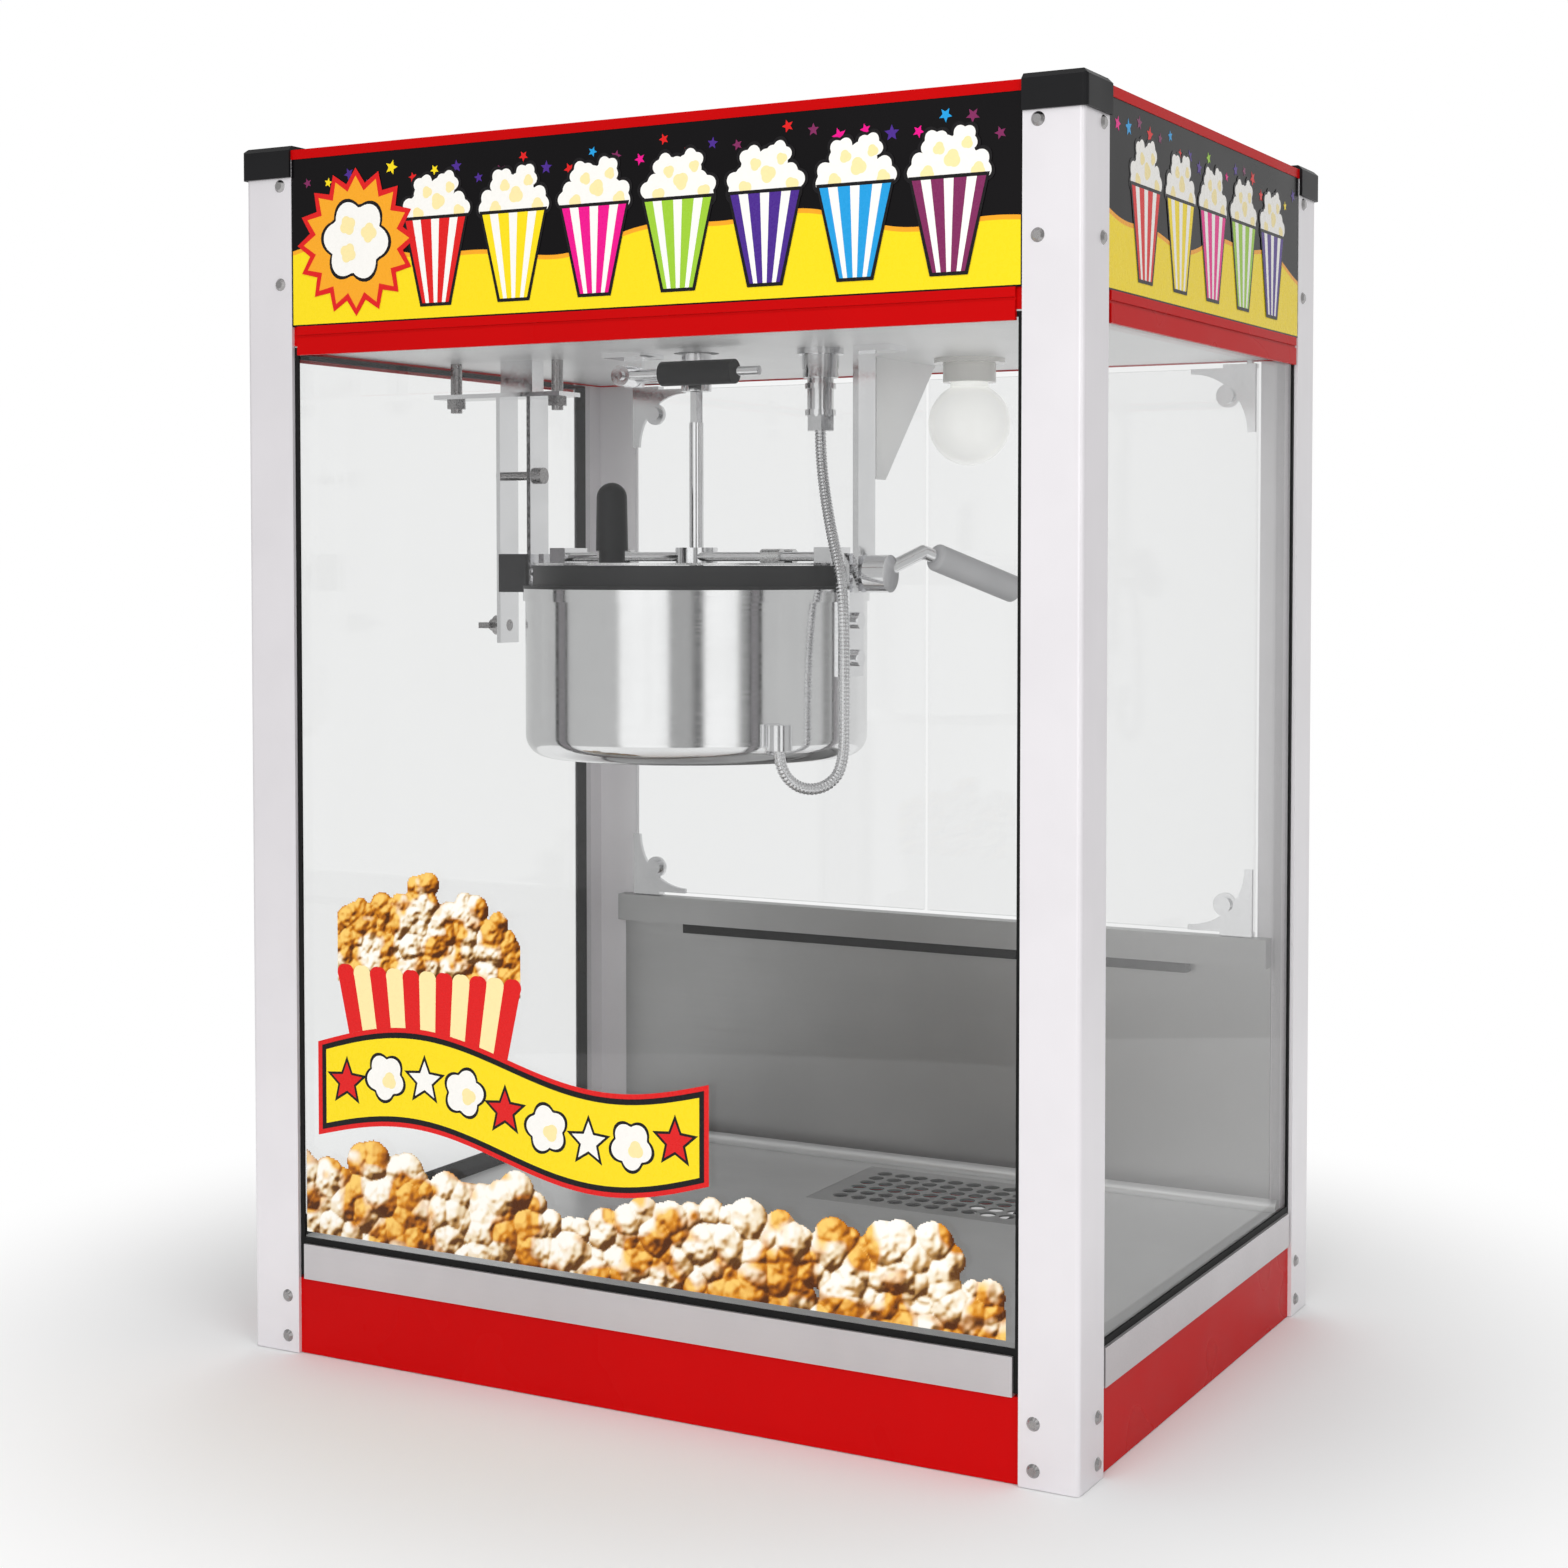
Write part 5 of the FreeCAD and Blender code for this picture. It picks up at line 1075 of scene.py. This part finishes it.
@dataclass
class GlassPrint:
    """Print on the front pane: a striped tub, a ribbon of stars and a heap of corn along the sill."""

    face: float = -0.204
    heap_left: float = -0.246
    heap_right: float = 0.241
    heap_foot: float = 0.0785
    tub_middle: float = -0.150
    tub_foot: float = 0.160
    tub_rim: float = 0.248
    tub_half_foot: float = 0.050
    tub_half_rim: float = 0.070
    heap_crest: Waves = Waves(0.052, ((0.009, 9.4, 1.2), (0.004, 23.0, 0.0)))
    heap_fall: float = 0.09
    stripes: int = 11
    fill_foot: float = 0.006
    fill_edge: float = 0.010
    fill_rise: float = 0.052
    ribbon_x: Pair = (-0.236, 0.052)
    ribbon_line: Waves = Waves(0.172, ((0.013, math.tau, 0.0),))
    ribbon_half: Waves = Waves(0.0235, ((0.002, math.pi, 0.0),))
    red_border: float = 0.0065
    black_border: float = 0.0035
    motifs_x: Pair = (-0.213, 0.029)
    motifs: int = 9
    motif_radius: float = 0.0165
    star_radius: float = 0.0125
    star_waist: float = 0.45
    puff_radius: float = 0.0145
    butter_radius: float = 0.0055

    def heap(self, film: Print) -> None:
        """Heap whose crest is two waves added together, and which falls away at its right end.

        Args:
            film: Film to print on.
        """
        x = np.linspace(self.heap_left, self.heap_right, 160)
        share = (x - self.heap_left) / (self.heap_right - self.heap_left)
        fall = np.clip((1.0 - share) / self.heap_fall, 0.05, 1.0) ** 0.6
        corn = PoppedCorn(
            seed=5, puff_gap=0.030, lobe_radius=(0.006, 0.0145), spread=0.0155, crumple_size=0.0058,
            glaze_size=0.019, glaze_start=0.64)
        high = self.heap_foot + self.heap_crest.at(share) * fall
        corn.paint(film, 0, x, np.full_like(x, self.heap_foot), high)

    def tub(self, film: Print) -> None:
        """Tub of tapered stripes with a scalloped rim, filled over its brim.

        Args:
            film: Film to print on.
        """
        x = np.linspace(self.tub_middle - self.tub_half_rim, self.tub_middle + self.tub_half_rim, 60)
        share = (x - self.tub_middle) / self.tub_half_rim
        dome = np.sqrt(np.clip(1.0 - share ** 2, 0.0, None))
        high = self.tub_rim + self.fill_edge + self.fill_rise * dome
        foot = np.full_like(x, self.tub_rim - self.fill_foot)
        PoppedCorn(seed=9, puff_gap=0.019).paint(film, 0, x, foot, high)
        low = (self.tub_foot, self.tub_half_foot)
        film.taper(0, (self.tub_middle,) * 2, low, (self.tub_rim, self.tub_half_rim), Tint.WHITE)
        edges = np.linspace(-1.0, 1.0, self.stripes + 1)
        for number in range(self.stripes):
            mid = (edges[number] + edges[number + 1]) / 2
            half = (edges[number + 1] - edges[number]) / 2
            ink = Tint.RED if number % 2 == 0 else Tint.CREAM
            foot_x = self.tub_middle + mid * self.tub_half_foot
            rim_x = self.tub_middle + mid * self.tub_half_rim
            low = (self.tub_foot, half * self.tub_half_foot)
            high_edge = (self.tub_rim, half * self.tub_half_rim)
            film.taper(1, (foot_x, rim_x), low, high_edge, ink)
            film.blot(1, rim_x, self.tub_rim, puff_edge(half * self.tub_half_rim * 1.02, 2, 0.0), ink)

    def ribbon(self, film: Print) -> None:
        """Ribbon along a wave, with a red and a black border and a row of stars and puffs.

        Args:
            film: Film to print on.
        """
        x = np.linspace(*self.ribbon_x, 90)
        share = (x - x[0]) / (x[-1] - x[0])
        middle = self.ribbon_line.at(share)
        half = self.ribbon_half.at(share)
        low = middle - half
        high = middle + half
        film.band(0, x, low - self.red_border, high + self.red_border, Tint.WHITE)
        film.band(2, x, low - self.red_border, high + self.red_border, Tint.RED)
        film.band(3, x[1:-1], low[1:-1] - self.black_border, high[1:-1] + self.black_border, Tint.BLACK)
        film.band(4, x[2:-2], low[2:-2], high[2:-2], Tint.YELLOW)
        inks = (Tint.RED, Tint.WHITE)
        for number, spot in enumerate(np.linspace(*self.motifs_x, self.motifs)):
            up = float(np.interp(spot, x, middle))
            if number % 2 == 0:
                edge = star_edge(self.motif_radius, 5, self.star_waist)
                star = star_edge(self.star_radius, 5, self.star_waist)
                film.blot(5, spot, up, edge, Tint.BLACK, math.pi / 2)
                film.blot(6, spot, up, star, inks[number // 2 % 2], math.pi / 2)
            else:
                film.blot(5, spot, up, puff_edge(self.motif_radius, 5, number), Tint.BLACK)
                film.blot(6, spot, up, puff_edge(self.puff_radius, 5, number), Tint.WHITE)
                film.blot(7, spot + 0.003, up - 0.002, puff_edge(self.butter_radius, 3, number), Tint.CREAM)

    def build(self) -> None:
        """Print the front pane."""
        film = Print(Panel((0.0, self.face, 0.0), (1, 0, 0), (0, -1, 0)))
        self.heap(film)
        self.tub(film)
        self.ribbon(film)
        film.build("glass_print", "cabinet", "sign_print")


@dataclass(frozen=True)
class Card:
    """Upright card of the surround that only mirrors show, with angles in degrees."""

    middle: float
    half: float
    edge: float
    tone: float

    def lay(self, shader: Shader, azimuth: Socket, under: object) -> Socket:
        """Lay the card over what is under it.

        Args:
            shader: Tree of the surround.
            azimuth: Angle of the ray round the machine.
            under: Tone under the card, a number or a socket.

        Returns:
            Socket of the tone with the card laid on.
        """
        turn = shader.sum("SUBTRACT", azimuth, math.radians(self.middle))
        nearest = shader.sum("WRAP", turn, math.pi, -math.pi)
        off = shader.sum("ABSOLUTE", nearest, 0.0)
        outer = math.radians(self.half + self.edge)
        inner = math.radians(self.half - self.edge)
        mask = shader.window(off, outer, inner)
        rest = shader.sum("SUBTRACT", 1.0, mask)
        kept = shader.sum("MULTIPLY", under, rest)
        return shader.sum("MULTIPLY_ADD", mask, self.tone, kept)


@dataclass(frozen=True)
class Lamp:
    """Square soft lamp: its place, the length of its side, its power in watts and where it is aimed."""

    name: str
    place: Point
    size: float
    power: float
    aim: Point = (0.0, 0.0, 0.4)

    def hang(self) -> None:
        """Hang the lamp, turned towards its aim; the cards stand for it in mirrors."""
        data = bpy.data.lights.new(self.name, "AREA")
        data.shape = "SQUARE"
        data.size = self.size
        data.energy = self.power
        lamp = bpy.data.objects.new(self.name, data)
        x, y, z = np.array(self.aim) - np.array(self.place)
        lamp.location = self.place
        lamp.rotation_euler = (math.atan2(math.hypot(x, y), -z), 0.0, math.atan2(-x, y))
        lamp.visible_glossy = False
        bpy.context.scene.collection.objects.link(lamp)


@dataclass
class Studio:
    """Camera, soft lamps, floor and a white surround with grey and white cards for the metal to mirror."""

    camera_place: Point = (0.79808, -1.48861, 0.50614)
    camera_turn: Point = (math.radians(90.0 - 2.164), 0.0, math.radians(28.457))
    lens: float = 58.75
    shift_up: float = -0.0786
    fill: float = 0.42
    floor_tone: float = 0.9
    floor_radius: float = 1.3
    floor_sides: int = 96
    floor_drop: float = 0.0005
    floor_fade: Pair = (0.3, 0.7)
    base_tone: float = 0.58
    cards: tuple[Card, ...] = (
        Card(90.0, 45.0, 25.0, 0.82), Card(-95.0, 17.0, 3.0, 1.2), Card(-66.0, 11.0, 2.0, 0.42),
        Card(-59.0, 3.0, 3.0, 0.14), Card(-43.5, 11.0, 2.0, 1.2), Card(-26.0, 4.0, 2.0, 0.3),
        Card(10.0, 27.0, 8.0, 0.62), Card(37.0, 4.0, 3.0, 0.28), Card(-160.0, 4.0, 3.0, 0.2))
    lamps: tuple[Lamp, ...] = (
        Lamp("left_box", (0.4, -2.2, 0.85), 1.2, 21.0), Lamp("right_box", (1.7, -1.3, 1.7), 1.2, 14.0),
        Lamp("top_box", (0.0, 0.1, 2.4), 1.6, 8.0), Lamp("rear_box", (-0.9, 2.0, 1.6), 1.4, 9.0))

    def camera(self) -> None:
        """Camera at the height and side that the view is taken from."""
        data = bpy.data.cameras.new("view_camera")
        data.lens = self.lens
        data.sensor_width = 36.0
        data.shift_y = self.shift_up
        eye = bpy.data.objects.new("view_camera", data)
        eye.location = self.camera_place
        eye.rotation_euler = self.camera_turn
        bpy.context.scene.collection.objects.link(eye)
        bpy.context.scene.camera = eye

    def world(self) -> None:
        """White for the camera and through glass, cards for mirrors, a plain level of fill for the rest."""
        world = bpy.data.worlds.new("surround")
        bpy.context.scene.world = world
        shader = Shader(world, "ShaderNodeOutputWorld")
        way = shader.add("ShaderNodeSeparateXYZ")
        shader.join(shader.add("ShaderNodeTexCoord").outputs["Generated"], way.inputs["Vector"])
        azimuth = shader.sum("ARCTAN2", way.outputs["Y"], way.outputs["X"])
        tone: object = self.base_tone
        for card in self.cards:
            tone = card.lay(shader, azimuth, tone)
        ray = shader.add("ShaderNodeLightPath")
        seen = shader.sum("MAXIMUM", ray.outputs["Is Camera Ray"], ray.outputs["Is Transmission Ray"])
        mirrored = shader.sum("MULTIPLY", ray.outputs["Is Glossy Ray"], shader.sum("SUBTRACT", 1.0, seen))
        plain = shader.sum("SUBTRACT", shader.sum("SUBTRACT", 1.0, seen), mirrored)
        strength = shader.sum("MULTIPLY_ADD", plain, self.fill, seen)
        total = shader.sum("MULTIPLY_ADD", mirrored, tone, strength)
        light = shader.add("ShaderNodeBackground", Color=(1.0, 1.0, 1.0, 1.0))
        shader.join(total, light.inputs["Strength"])
        shader.join(light.outputs["Background"], shader.output.inputs["Surface"])

    def floor(self) -> None:
        """Round floor whose pale surface goes over to white away from the machine."""
        angle = np.linspace(0.0, math.tau, self.floor_sides, endpoint=False)
        rim = np.stack([np.cos(angle), np.sin(angle), np.zeros_like(angle)], axis=1) * self.floor_radius
        points = np.concatenate([[[0.0, 0.0, 0.0]], rim]) - (0.0, 0.0, self.floor_drop)
        piece = solid_object("studio_floor", points, [fan_faces(self.floor_sides)], smooth=False)
        shader = Shader.named("studio_floor")
        place = shader.add("ShaderNodeTexCoord")
        far = shader.add("ShaderNodeVectorMath", operation="LENGTH")
        shader.join(place.outputs["Object"], far.inputs[0])
        fade = shader.window(far.outputs["Value"], *self.floor_fade)
        matt = shader.add("ShaderNodeBsdfDiffuse", Color=(self.floor_tone,) * 3 + (1.0,))
        white = shader.add("ShaderNodeEmission", Strength=1.0)
        shader.mixed(fade, matt.outputs["BSDF"], white.outputs["Emission"])
        piece.data.materials.append(shader.material)

    def build(self) -> None:
        """Set the whole stage."""
        bpy.context.scene.view_settings.view_transform = "Standard"
        self.camera()
        self.world()
        self.floor()
        for lamp in self.lamps:
            lamp.hang()
        log.info("studio set with %d lamps", len(self.lamps))


def main() -> None:
    """Build each sub-assembly in turn, then the stage, and note the sizes."""
    logging.basicConfig(level=logging.INFO, format="%(name)s: %(message)s")
    HeaterLead().build()
    Cabinet().dress()
    Kettle().dress()
    StirDrive().dress()
    HeaderSign().build()
    GlassPrint().build()
    Studio().build()


if __name__ == "__main__":
    main()
